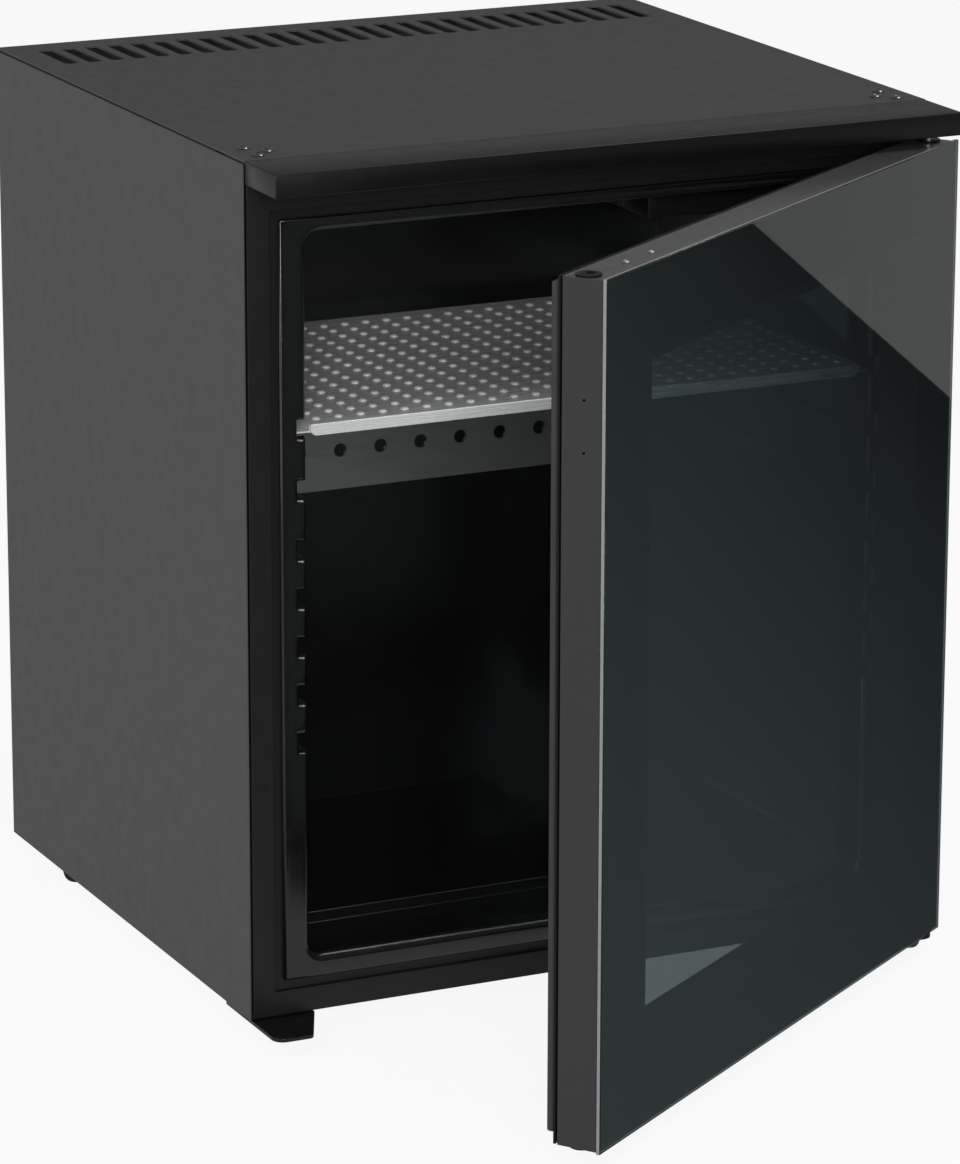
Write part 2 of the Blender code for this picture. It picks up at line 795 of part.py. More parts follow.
def make_liner():
    flange_gap = GROOVE_WIDTH + GAP
    tub = (-TUB_HALF, TUB_HALF, TUB_BOTTOM, TUB_TOP)
    liner = box("inner_liner", (tub[0], 0.0, tub[2]), (tub[1], TUB_BACK, tub[3]), LINER)
    flange = box(
        "liner flange",
        (-HALF + FRAME_SIDE + flange_gap, 0.0, BASE_Z + FRAME_BOTTOM + flange_gap),
        (HALF - FRAME_SIDE - flange_gap, GROOVE_DEPTH - GAP, TOP_Z - FRAME_TOP - flange_gap),
    )
    add_bevel(flange, 0.0010, 1)
    opening = round_corners(
        [
            (-OPENING_HALF, FLOOR_Z, 0),
            (OPENING_HALF, FLOOR_Z, 0),
            (OPENING_HALF, CEILING_Z, 0),
            (-OPENING_HALF, CEILING_Z, 0),
        ],
        OPENING_CORNER,
        segments=5,
    )
    cavity = flat_mesh("liner cavity", [opening], CAVITY_DEPTH + CUTTER_MARGIN)
    upright(cavity, 0, -CUTTER_MARGIN, CAVITY_DEPTH, 0)
    trough_half = OPENING_HALF - TROUGH_MARGIN
    trough = box(
        "floor trough",
        (-trough_half, TROUGH_FRONT, FLOOR_Z - TROUGH_DEPTH),
        (trough_half, TROUGH_BACK, FLOOR_Z + CUTTER_MARGIN),
    )
    join(liner, flange)
    cut(liner, cavity, trough)
    for i, level in enumerate(guide_levels()):
        cut(
            liner,
            box(
                f"shelf guide {i + 1}",
                (-OPENING_HALF - GUIDE_DEPTH, -CUTTER_MARGIN, level),
                (OPENING_HALF + GUIDE_DEPTH, CAVITY_DEPTH - GUIDE_REAR_STOP, level + GUIDE_HEIGHT),
            ),
        )
    block_hole = box(
        "evaporator hole",
        (-BLOCK_HALF_WIDTH - GAP, CAVITY_DEPTH - CUTTER_MARGIN, BLOCK_Z - GAP),
        (BLOCK_HALF_WIDTH + GAP, TUB_BACK + CUTTER_MARGIN, BLOCK_TOP + GAP),
    )
    drain_radius, drain_x, drain_z = tube_holes()["drain"]
    drain_hole = cylinder(
        "liner drain hole",
        drain_radius + GAP,
        2 * CUTTER_MARGIN,
        (drain_x, TUB_BACK, drain_z),
        axis="Y",
        steps=16,
    )
    cut(liner, block_hole, drain_hole)


def make_shelf():
    """A folded tray: its side edges step down and out into the guides, and its front lip hangs down."""
    seat = guide_levels()[-1] + GAP
    top = seat + SHELF_RISE
    half = OPENING_HALF - SHELF_SIDE_CLEARANCE
    reach = OPENING_HALF + SHELF_TAB_BITE
    back = SHELF_FRONT + SHELF_DEPTH
    tray = box("shelf", (-half, SHELF_FRONT, top - SHELF_SHEET), (half, back, top), ALUMINIUM)
    join(
        tray,
        box(
            "shelf front lip",
            (-half, SHELF_FRONT, top - SHELF_LIP),
            (half, SHELF_FRONT + SHELF_SHEET, top - SHELF_SHEET / 2),
        ),
    )
    for side in (-1, 1):
        wall = sorted((side * half, side * (half - SHELF_SHEET)))
        tab = sorted((side * (half - SHELF_SHEET / 2), side * reach))
        front = SHELF_FRONT + 2 * SHELF_SHEET
        join(
            tray,
            box(
                f"shelf side wall {side:+d}",
                (wall[0], front, seat),
                (wall[1], back, top - SHELF_SHEET / 2),
            ),
            box(
                f"shelf side tab {side:+d}",
                (tab[0], front + SHELF_SHEET, seat),
                (tab[1], back - SHELF_SHEET, seat + SHELF_SHEET),
            ),
        )


def make_evaporator():
    plate_back = CAVITY_DEPTH - GAP
    plate = box(
        "evaporator_plate",
        (-PLATE_HALF_WIDTH, plate_back - PLATE_SHEET, PLATE_Z),
        (PLATE_HALF_WIDTH, plate_back, PLATE_Z + PLATE_HEIGHT),
        GREY_PLATE,
    )
    loop = round_corners(
        [(*p, 0) for p in rectangle(PLATE_HOLE_RADIUS, PLATE_HOLE_RADIUS)],
        PLATE_HOLE_RADIUS * 0.98,
        segments=3,
    )
    first = -(PLATE_HOLE_COUNT - 1) / 2 * PLATE_HOLE_PITCH
    loops = []
    for i in range(PLATE_HOLE_COUNT):
        loops.append([(p.x + first + i * PLATE_HOLE_PITCH, p.y) for p in loop])
    holes = flat_mesh("plate holes", loops, 2 * PLATE_SHEET)
    middle = plate_back - PLATE_SHEET / 2
    upright(holes, 0, middle - PLATE_SHEET, middle + PLATE_SHEET, PLATE_Z + PLATE_HOLE_RISE)
    cut(plate, holes)
    box(
        "evaporator_block",
        (-BLOCK_HALF_WIDTH, CAVITY_DEPTH, BLOCK_Z),
        (BLOCK_HALF_WIDTH, CAVITY_DEPTH + BLOCK_DEPTH, BLOCK_TOP),
        ALUMINIUM,
    )


def make_lamp_housing():
    top = CEILING_Z - GAP
    bottom = top - HOUSING_HEIGHT
    right = HOUSING_LEFT + HOUSING_WIDTH
    knob_x = right - KNOB_INSET
    middle = HOUSING_FRONT + HOUSING_DEPTH / 2
    housing = box(
        "lamp_housing",
        (HOUSING_LEFT, HOUSING_FRONT, bottom),
        (right, HOUSING_FRONT + HOUSING_DEPTH, top),
        BLACK,
        bevel=0.0020,
    )
    stem_hole = cylinder(
        "stem hole",
        KNOB_STEM_RADIUS + PIN_CLEARANCE,
        2 * KNOB_STEM_LENGTH + 4 * GAP,
        (knob_x, middle, bottom),
        steps=16,
    )
    cut(housing, stem_hole)
    lens_left = HOUSING_LEFT + (knob_x - KNOB_RADIUS - HOUSING_LEFT - LENS_WIDTH) / 2
    box(
        "lamp_lens",
        (lens_left, middle - LENS_DEPTH / 2, bottom - GAP - LENS_HEIGHT),
        (lens_left + LENS_WIDTH, middle + LENS_DEPTH / 2, bottom - GAP),
        LENS,
        bevel=0.0008,
    )
    knob_top = -GAP
    knob_low = bottom - GAP - KNOB_HEIGHT
    pointer_low = knob_low - POINTER_RISE
    half_width = POINTER_WIDTH / 2
    reach = KNOB_RADIUS * 0.8
    grip = turned(
        "thermostat_knob",
        [
            (0.0, KNOB_STEM_LENGTH),
            (KNOB_STEM_RADIUS, KNOB_STEM_LENGTH),
            (KNOB_STEM_RADIUS, knob_top),
            (KNOB_RADIUS, knob_top),
            (KNOB_RADIUS * 0.9, knob_top - KNOB_HEIGHT),
            (0.0, knob_top - KNOB_HEIGHT),
        ],
        BLACK,
        (knob_x, middle, bottom),
    )
    pointer = box(
        "knob pointer",
        (knob_x - half_width, middle - reach, pointer_low),
        (knob_x + half_width, middle + reach, knob_low + KNOB_HEIGHT / 2),
    )
    join(grip, pointer)


def make_temperature_sensor():
    cylinder(
        "temperature_sensor",
        SENSOR_RADIUS,
        SENSOR_LENGTH,
        (OPENING_HALF - SENSOR_RADIUS - GAP, SENSOR_BACK, BASE_Z + SENSOR_RISE),
        axis="Y",
        material=BLACK,
        steps=16,
    )


# Hinges, brackets, feet and screws


def make_top_bracket(name, side, reach):
    """A flat steel bracket under the top panel; the hinge's own reaches out over the pivot."""
    outer = side * (HALF - SIDE_SHEET - BRACKET_SIDE_GAP)
    inner = side * (HALF - SIDE_SHEET - BRACKET_SIDE_GAP - BRACKET_WIDTH)
    left, right = sorted((outer, inner))
    bracket = box(name, (left, -reach, BRACKET_BOTTOM), (right, BRACKET_BACK, BRACKET_TOP), GALVANISED)
    cut(bracket, *top_screw_holes(side))
    return bracket


def make_upper_hinge():
    reach = -PIVOT_Y + PIN_SLEEVE_RADIUS + PIN_CLEARANCE * 10
    bracket = make_top_bracket("upper_hinge_bracket", 1, reach)
    hole = cylinder(
        "upper pin hole",
        PIN_RADIUS + PIN_CLEARANCE,
        2 * CUTTER_MARGIN,
        (PIVOT_X, PIVOT_Y, BRACKET_TOP),
    )
    cut(bracket, hole)
    make_top_bracket("left_trim_bracket", -1, TRIM_DEPTH - TRIM_WALL - BRACKET_SIDE_GAP)
    sleeve_bottom = TRIM_BOTTOM - PIN_SLEEVE_DROP
    turned(
        "upper_hinge_pin",
        [
            (0.0, BRACKET_TOP),
            (PIN_RADIUS, BRACKET_TOP),
            (PIN_RADIUS, BRACKET_BOTTOM - GAP),
            (PIN_SLEEVE_RADIUS, BRACKET_BOTTOM - GAP),
            (PIN_SLEEVE_RADIUS, sleeve_bottom),
            (PIN_RADIUS, sleeve_bottom),
            (PIN_RADIUS, DOOR_TOP - PIN_BITE),
            (0.0, DOOR_TOP - PIN_BITE),
        ],
        STEEL,
        (PIVOT_X, PIVOT_Y, 0.0),
    )


def make_foot_plate(name, side):
    """The tapering plate under a front corner: the right one has the door's pin, the left one a rivet."""
    inset = [HALF, HALF, HALF - PLATE_NARROW, HALF - PLATE_WIDE, HALF - PLATE_WIDE]
    along = [PLATE_BACK, -PLATE_FRONT, -PLATE_FRONT, 0.0, PLATE_BACK]
    points = [(side * x, y, 0) for x, y in zip(inset, along)]
    corner = [0.0, PLATE_CORNER, PLATE_CORNER / 2, 0.0, 0.0]
    loop = round_corners(points, corner, segments=5)
    plate = flat_mesh(name, [loop], PLATE_THICKNESS, BLACK_STEEL)
    place(plate, (0, 0, PLATE_TOP - PLATE_THICKNESS / 2))
    if side > 0:
        radius, centre = PIN_RADIUS + PIN_CLEARANCE, (PIVOT_X, PIVOT_Y, PLATE_TOP)
    else:
        radius, centre = RIVET_SHANK + GAP, rivet_place()
    hole = cylinder(f"plate pin hole {side:+d}", radius, 2 * CUTTER_MARGIN, centre)
    screw = cylinder(f"foot plate screw hole {side:+d}", *plate_screw_hole(side), steps=12)
    cut(plate, hole, screw)


def rivet_place():
    return -(HALF - RIVET_FROM_SIDE), -RIVET_FRONT, PLATE_TOP + GAP


def make_rivet():
    profile = screw_profile(RIVET_HEAD, RIVET_HEAD_HEIGHT, RIVET_SHANK, PLATE_THICKNESS + GAP)
    turned("foot_plate_rivet", profile, BLACK_STEEL, rivet_place(), steps=16)


def make_lower_pin():
    plate_bottom = PLATE_TOP - PLATE_THICKNESS
    dome = dome_profile(
        PIN_DOME_RADIUS, plate_bottom - GAP, PIN_FLOOR_CLEARANCE, PIN_DOME_RADIUS / 2, steps=4
    )
    turned(
        "lower_hinge_pin",
        [(0.0, DOOR_BOTTOM + PIN_BITE), (PIN_RADIUS, DOOR_BOTTOM + PIN_BITE), (PIN_RADIUS, dome[1][1])]
        + dome[1:],
        BLACK_STEEL,
        (PIVOT_X, PIVOT_Y, 0.0),
    )


def screw_profile(head, head_height, shank, length):
    """Pan head on top of a plain shank, the seat of the head at height 0."""
    return [
        (0.0, head_height),
        (head * 0.55, head_height * 0.92),
        (head * 0.9, head_height * 0.5),
        (head, 0.0),
        (shank, 0.0),
        (shank, -length),
        (0.0, -length),
    ]


def make_screws():
    top_profile = screw_profile(
        TOP_SCREW_HEAD, TOP_SCREW_HEAD_HEIGHT, TOP_SCREW_SHANK, TOP_SCREW_LENGTH
    )
    for side, word in ((-1, "left"), (1, "right")):
        for place_name, (from_side, back) in screw_places().items():
            turned(
                f"top_screw_{word}_{place_name}",
                top_profile,
                STEEL,
                (side * (HALF - from_side), back, TOP_Z + GAP),
                steps=16,
            )
    plate_bottom = PLATE_TOP - PLATE_THICKNESS
    length = PLATE_THICKNESS + BASE_SHEET + 2 * GAP
    plate_profile = screw_profile(TOP_SCREW_HEAD, TOP_SCREW_HEAD_HEIGHT, TOP_SCREW_SHANK, length)
    for side, word in ((-1, "left"), (1, "right")):
        centre = (side * (HALF - PLATE_SCREW_FROM_SIDE), PLATE_SCREW_BACK, plate_bottom - GAP)
        turned(
            f"plate_screw_{word}", plate_profile, STEEL, centre, turn=(math.pi, 0, 0), steps=16
        )


def make_feet():
    rear_y = BODY_DEPTH - REAR_FOOT_FROM_BACK
    spots = {
        "front_left_foot": (-(HALF - FRONT_FOOT_FROM_SIDE), FRONT_FOOT_BACK),
        "front_right_foot": (HALF - FRONT_FOOT_FROM_SIDE, FRONT_FOOT_BACK),
        "rear_left_foot": (-(HALF - REAR_FOOT_FROM_SIDE), rear_y),
        "rear_right_foot": (HALF - REAR_FOOT_FROM_SIDE, rear_y),
    }
    profile = dome_profile(FOOT_RADIUS, BASE_Z - GAP, 0.0, FOOT_SOLE_RADIUS)
    for name, (x, y) in spots.items():
        turned(name, profile, RUBBER, (x, y, 0.0))


# Door; its own frame has X along the leaf and Y through it, with the pivot at the origin

DOOR_RIGHT = PIVOT_FROM_EDGE
DOOR_LEFT = PIVOT_FROM_EDGE - DOOR_WIDTH


def leaf_y(behind):
    """Distance behind the glass face, as Y in the door's own frame."""
    return behind - PIVOT_FROM_GLASS


def leaf_rectangle(inset_side, inset_end=None):
    """The leaf's outline drawn in by an inset, as (left, right, bottom, top)."""
    inset_end = inset_side if inset_end is None else inset_end
    return (
        DOOR_LEFT + inset_side,
        DOOR_RIGHT - inset_side,
        DOOR_BOTTOM + inset_end,
        DOOR_TOP - inset_end,
    )


def make_panes():
    left, right, bottom, top = leaf_rectangle(0.0)
    box("outer_glass", (left, leaf_y(0), bottom), (right, leaf_y(GLASS), top), SMOKED, DOOR, 0.0005, 1)
    left, right, bottom, top = leaf_rectangle(WINDOW_SIDE - REBATE + GAP, WINDOW_END - REBATE + GAP)
    front = leaf_y(DOOR_FRAME_BACK - REBATE_DEPTH + GAP)
    box("inner_glass", (left, front, bottom), (right, front + GLASS, top), CLEAR, DOOR)


def bush_places():
    """X and height of the hinge holes, which both ends of the leaf have, and which way they face."""
    free = DOOR_LEFT + PIVOT_FROM_EDGE
    return {
        "upper_door_bush": (0.0, DOOR_TOP - FRAME_INSET, 1),
        "lower_door_bush": (0.0, DOOR_BOTTOM + FRAME_INSET, -1),
        "upper_hole_plug": (free, DOOR_TOP - FRAME_INSET, 1),
        "lower_hole_plug": (free, DOOR_BOTTOM + FRAME_INSET, -1),
    }


def make_door_frame():
    front, back = leaf_y(DOOR_FRAME_FRONT), leaf_y(DOOR_FRAME_BACK)
    frame = ring(
        "door_frame",
        leaf_rectangle(FRAME_INSET),
        leaf_rectangle(WINDOW_SIDE, WINDOW_END),
        front,
        back,
        PAINT,
        DOOR,
    )
    left, right, bottom, top = leaf_rectangle(WINDOW_SIDE - REBATE, WINDOW_END - REBATE)
    rebate = box(
        "glazing rebate",
        (left, back - REBATE_DEPTH, bottom),
        (right, back + CUTTER_MARGIN, top),
        parent=DOOR,
    )
    cut(frame, rebate)
    for name, (x, z, way) in bush_places().items():
        middle = z - way * BUSH_LENGTH / 2
        cut(
            frame,
            cylinder(
                "hole for " + name,
                BUSH_RADIUS + GAP,
                BUSH_LENGTH + 2 * GAP,
                (x, 0.0, middle),
                parent=DOOR,
            ),
        )
    for i in range(2):
        height = DOOR_TOP - HANDLE_HOLE_FROM_TOP - i * HANDLE_HOLE_STEP
        cut(
            frame,
            cylinder(
                f"handle hole {i + 1}",
                HANDLE_HOLE_RADIUS,
                2 * HANDLE_HOLE_DEPTH,
                (DOOR_LEFT + FRAME_INSET, leaf_y(HARDWARE_BEHIND), height),
                axis="X",
                parent=DOOR,
                steps=8,
            ),
        )
        x = DOOR_LEFT + DOOR_SCREW_FIRST + i * DOOR_SCREW_STEP
        cut(
            frame,
            cylinder(
                f"door screw hole {i + 1}",
                DOOR_SCREW_SHANK + GAP,
                2 * (TOP_SCREW_LENGTH + GAP),
                (x, leaf_y(HARDWARE_BEHIND), DOOR_TOP - FRAME_INSET),
                parent=DOOR,
                steps=8,
            ),
        )


def make_spacer():
    inner = WINDOW_SIDE + SPACER_WIDTH, WINDOW_END + SPACER_WIDTH
    ring(
        "glass_spacer",
        leaf_rectangle(WINDOW_SIDE + GAP, WINDOW_END + GAP),
        leaf_rectangle(*inner),
        leaf_y(DOOR_FRAME_FRONT),
        leaf_y(DOOR_FRAME_BACK - REBATE_DEPTH),
        BLACK,
        DOOR,
    )


def make_inner_trim():
    """The ring that holds the inner pane: a thin rib all round and a narrower seat for the gasket."""
    window = leaf_rectangle(WINDOW_SIDE, WINDOW_END)
    rib = ring(
        "inner_trim",
        leaf_rectangle(FRAME_INSET),
        window,
        leaf_y(NECK_BACK),
        leaf_y(RIB_BACK),
        BLACK,
        DOOR,
    )
    overlap = RIB_DEPTH / 3
    neck = ring(
        "trim neck",
        leaf_rectangle(NECK_INSET),
        leaf_rectangle(WINDOW_SIDE - LIP_UNDER, WINDOW_END - LIP_UNDER),
        leaf_y(DOOR_FRAME_BACK + GAP),
        leaf_y(NECK_BACK + overlap),
        parent=DOOR,
    )
    seat = ring(
        "gasket seat",
        leaf_rectangle(GASKET_INSET + SEAT_STEP),
        leaf_rectangle(GASKET_INSET + GASKET_WIDTH - SEAT_STEP),
        leaf_y(RIB_BACK - overlap),
        leaf_y(SEAT_BACK),
        parent=DOOR,
    )
    join(rib, neck, seat)


def make_gasket():
    inset = GASKET_INSET + GASKET_WIDTH
    ring(
        "gasket",
        leaf_rectangle(GASKET_INSET),
        leaf_rectangle(inset),
        leaf_y(SEAT_BACK + GAP),
        leaf_y(DOOR_BACK),
        GASKET,
        DOOR,
    )


def make_bushes():
    bore = PIN_RADIUS + PIN_CLEARANCE
    for name, (x, z, way) in bush_places().items():
        turn = (0, 0, 0) if way > 0 else (math.pi, 0, 0)
        if "bush" in name:
            profile = [
                (bore, GAP + BUSH_FLANGE),
                (BUSH_FLANGE_RADIUS, GAP + BUSH_FLANGE),
                (BUSH_FLANGE_RADIUS, GAP),
                (BUSH_RADIUS, GAP),
                (BUSH_RADIUS, -BUSH_LENGTH),
                (bore, -BUSH_LENGTH),
            ]
            bored(name, profile, BLACK, (x, 0.0, z), DOOR, turn)
        else:
            profile = [
                (0.0, GAP),
                (BUSH_RADIUS * 0.6, GAP),
                (BUSH_RADIUS * 0.7, GAP + BUSH_FLANGE),
                (BUSH_FLANGE_RADIUS, GAP + BUSH_FLANGE),
                (BUSH_FLANGE_RADIUS, GAP),
                (BUSH_RADIUS, GAP),
                (BUSH_RADIUS, -BUSH_LENGTH),
                (0.0, -BUSH_LENGTH),
            ]
            turned(name, profile, BLACK, (x, 0.0, z), DOOR, turn)


def make_door_screws():
    profile = screw_profile(DOOR_SCREW_HEAD, DOOR_SCREW_HEAD / 3, DOOR_SCREW_SHANK, TOP_SCREW_LENGTH)
    for i in range(2):
        x = DOOR_LEFT + DOOR_SCREW_FIRST + i * DOOR_SCREW_STEP
        turned(
            f"door_top_screw_{i + 1}",
            profile,
            STEEL,
            (x, leaf_y(HARDWARE_BEHIND), DOOR_TOP - FRAME_INSET + GAP),
            DOOR,
            steps=12,
        )


# Cooling unit behind the rear panel


def make_boiler():
    x = -HALF + BOILER_FROM_SIDE
    bottom = BOILER_BOTTOM
    top = bottom + BOILER_HEIGHT
    cylinder(
        "boiler_cover",
        BOILER_RADIUS,
        BOILER_HEIGHT,
        (x, UNIT_Y, (bottom + top) / 2),
        material=GALVANISED,
        steps=28,
    )
    cylinder(
        "heater_cartridge",
        HEATER_RADIUS,
        HEATER_LENGTH,
        (x, UNIT_Y, bottom - GAP - HEATER_LENGTH / 2),
        material=STEEL,
        steps=16,
    )
    corners = [
        (x, UNIT_Y, top + GAP),
        (x, UNIT_Y, CONDENSER_Z),
        (CONDENSER_START - GAP, UNIT_Y, CONDENSER_Z),
    ]
    tube("riser_tube", round_corners(corners, TUBE_BEND, 6, closed=False), RISER_RADIUS, TUBE)


def make_condenser():
    middle = (CONDENSER_START + CONDENSER_END) / 2
    pipe = cylinder(
        "condenser",
        CONDENSER_RADIUS,
        CONDENSER_END - CONDENSER_START,
        (middle, UNIT_Y, CONDENSER_Z),
        axis="X",
        material=TUBE,
        steps=16,
    )
    first = middle - (FIN_COUNT - 1) / 2 * FIN_PITCH
    fins = bmesh.new()
    for i in range(FIN_COUNT):
        made = bmesh.ops.create_cube(fins, size=1.0)["verts"]
        bmesh.ops.scale(fins, vec=(FIN_SHEET, FIN_SIZE, FIN_SIZE), verts=made)
        bmesh.ops.translate(fins, vec=(first + i * FIN_PITCH, 0, 0), verts=made)
    join(pipe, place(object_from(fins, "condenser fins"), (0, UNIT_Y, CONDENSER_Z)))


def make_feed_tube():
    """From the condenser's end, down and across, and forward into the evaporator."""
    corners = [
        (CONDENSER_END + GAP, UNIT_Y, CONDENSER_Z),
        (FEED_SIDE, UNIT_Y, CONDENSER_Z),
        (FEED_SIDE, UNIT_Y, FEED_Z),
        (FEED_HOLE_X, UNIT_Y, FEED_Z),
        (FEED_HOLE_X, CAVITY_DEPTH + BLOCK_DEPTH + GAP, FEED_Z),
    ]
    tube("feed_tube", round_corners(corners, TUBE_BEND, 6, closed=False), FEED_RADIUS, TUBE)


def coil_route():
    """Up out of the vessel, to and fro in level passes, then up and forward into the evaporator."""
    corners = [
        (COIL_HALF_SPAN, UNIT_Y, VESSEL_HEIGHT + VESSEL_RADIUS + GAP),
        (COIL_HALF_SPAN, UNIT_Y, COIL_FIRST_Z),
        (-COIL_HALF_SPAN, UNIT_Y, COIL_FIRST_Z),
    ]
    route = round_corners(corners, TUBE_BEND, 5, closed=False)
    bend = COIL_PITCH / 2
    for i in range(COIL_PASSES - 1):
        side = -1 if i % 2 == 0 else 1
        low = COIL_FIRST_Z + i * COIL_PITCH
        for k in range(0 if i else 1, 9):
            angle = math.pi * k / 8
            x = side * (COIL_HALF_SPAN + bend * math.sin(angle))
            route.append(Vector((x, UNIT_Y, low + bend - bend * math.cos(angle))))
    tail = [
        route[-1],
        (COIL_HALF_SPAN, UNIT_Y, COIL_LAST_Z),
        (COIL_HALF_SPAN, UNIT_Y, COIL_EXIT_Z),
        (COIL_HALF_SPAN, CAVITY_DEPTH + BLOCK_DEPTH + GAP, COIL_EXIT_Z),
    ]
    return route[:-1] + round_corners(tail, TUBE_BEND, 5, closed=False)


def make_absorber():
    middle = (VESSEL_START + VESSEL_END) / 2
    half = (VESSEL_END - VESSEL_START) / 2
    shoulder = half - VESSEL_DOME
    turned(
        "absorber_vessel",
        [
            (0.0, half),
            (VESSEL_RADIUS * 0.6, half - VESSEL_DOME * 0.2),
            (VESSEL_RADIUS * 0.9, half - VESSEL_DOME * 0.6),
            (VESSEL_RADIUS, shoulder),
            (VESSEL_RADIUS, -shoulder),
            (VESSEL_RADIUS * 0.9, -half + VESSEL_DOME * 0.6),
            (VESSEL_RADIUS * 0.6, -half + VESSEL_DOME * 0.2),
            (0.0, -half),
        ],
        TUBE,
        (middle, UNIT_Y, VESSEL_HEIGHT),
        turn=(0, math.pi / 2, 0),
    )
    route = coil_route()
    tube("absorber_coil", route, COIL_RADIUS, TUBE)
    print("least gap in the absorber coil, mm:", round(least_self_gap(route, COIL_RADIUS) * 1000, 2))
    cradle_bottom = BASE_TOP + GAP
    left, right = VESSEL_START + CRADLE_INSET, VESSEL_END - CRADLE_INSET
    front, back = UNIT_Y - CRADLE_HALF_DEPTH, UNIT_Y + CRADLE_HALF_DEPTH
    cradle = box(
        "vessel_cradle",
        (left, front, cradle_bottom),
        (right, back, cradle_bottom + CRADLE_SHEET),
        GALVANISED,
    )
    for word, x in (("left", left), ("right", right - CRADLE_SHEET)):
        join(
            cradle,
            box(
                f"{word} cradle wall",
                (x, front, cradle_bottom + CRADLE_SHEET / 2),
                (x + CRADLE_SHEET, back, VESSEL_HEIGHT),
            ),
        )
    saddle = cylinder(
        "cradle saddle",
        VESSEL_RADIUS + GAP,
        BODY_WIDTH,
        (middle, UNIT_Y, VESSEL_HEIGHT),
        axis="X",
        steps=ROUND_STEPS,
    )
    cut(cradle, saddle)


def make_controls():
    right = HALF - CONTROL_FROM_SIDE
    left = right - CONTROL_WIDTH
    front = REAR_BACK + GAP
    back = front + CONTROL_DEPTH
    top = CONTROL_BOTTOM + CONTROL_HEIGHT
    box("control_box", (left, front, CONTROL_BOTTOM), (right, back, top), BLACK, bevel=0.0025)
    middle_x = (left + right) / 2
    middle_z = CONTROL_BOTTOM + INLET_HEIGHT
    low_x, high_x = middle_x - INLET_WIDTH / 2, middle_x + INLET_WIDTH / 2
    low_z, high_z = middle_z - INLET_HEIGHT / 2, middle_z + INLET_HEIGHT / 2
    inlet_front = back + GAP
    inlet_back = inlet_front + INLET_DEPTH
    inlet = box(
        "power_inlet", (low_x, inlet_front, low_z), (high_x, inlet_back, high_z), BLACK, bevel=0.0010
    )
    socket = box(
        "inlet socket",
        (low_x + INLET_WALL, inlet_front + INLET_WALL, low_z + INLET_WALL),
        (high_x - INLET_WALL, inlet_back + CUTTER_MARGIN, high_z - INLET_WALL),
    )
    cut(inlet, socket)


def make_drain():
    radius, x, z = tube_holes()["drain"]
    tray_front = REAR_BACK + GAP
    tray_back = tray_front + TRAY_DEPTH
    bottom = BASE_TOP + GAP
    left, right = x - TRAY_WIDTH / 2, x + TRAY_WIDTH / 2
    tray = box(
        "drip_tray", (left, tray_front, bottom), (right, tray_back, bottom + TRAY_HEIGHT), BLACK
    )
    hollow = box(
        "tray hollow",
        (left + TRAY_WALL, tray_front + TRAY_WALL, bottom + TRAY_WALL),
        (right - TRAY_WALL, tray_back - TRAY_WALL, bottom + TRAY_HEIGHT + CUTTER_MARGIN),
    )
    cut(tray, hollow)
    spout_y = tray_front + TRAY_DEPTH / 2
    corners = [(x, CAVITY_DEPTH, z), (x, spout_y, z), (x, spout_y, bottom + TRAY_WALL + GAP)]
    tube("drain_spout", round_corners(corners, TUBE_BEND / 2, 5, closed=False), radius, RUBBER)


def centre_on_footprint():
    """Moves the whole object so that the middle of its lower box, door standing open, is the origin."""
    corners = []
    for x in (DOOR_LEFT, DOOR_RIGHT):
        for y in (leaf_y(0), leaf_y(DOOR_BACK)):
            corners.append(Vector((PIVOT_X, PIVOT_Y)) + Vector((x, y)) @ Matrix.Rotation(-OPEN_ANGLE, 2))
    lowest_y = min(corner.y for corner in corners)
    highest_x = max(HALF, max(corner.x for corner in corners))
    ROOT.location = (-(highest_x - HALF) / 2, -(BODY_DEPTH + lowest_y) / 2, 0.0)


make_side_panel("left_side_panel", -1)
make_side_panel("right_side_panel", 1)
make_top_panel()
make_top_trim()
make_front_frame()
make_base_pan()
make_rear_panel()
make_foam()
make_liner()
make_shelf()
make_evaporator()
make_lamp_housing()
make_temperature_sensor()
make_upper_hinge()
make_foot_plate("left_foot_plate", -1)
make_foot_plate("lower_hinge_plate", 1)
make_rivet()
make_lower_pin()
make_screws()
make_feet()
make_panes()
make_door_frame()
make_spacer()
make_inner_trim()
make_gasket()
make_bushes()
make_door_screws()
make_boiler()
make_condenser()
make_feed_tube()
make_absorber()
make_controls()
make_drain()
centre_on_footprint()
print("nodes:", sum(1 for obj in PARTS.objects if obj.type != "EMPTY"))
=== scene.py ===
# Minibar fridge: finishes, rounded and detailed pieces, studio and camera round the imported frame.

import json
import math

import bmesh
import bpy
from mathutils import Matrix, Vector


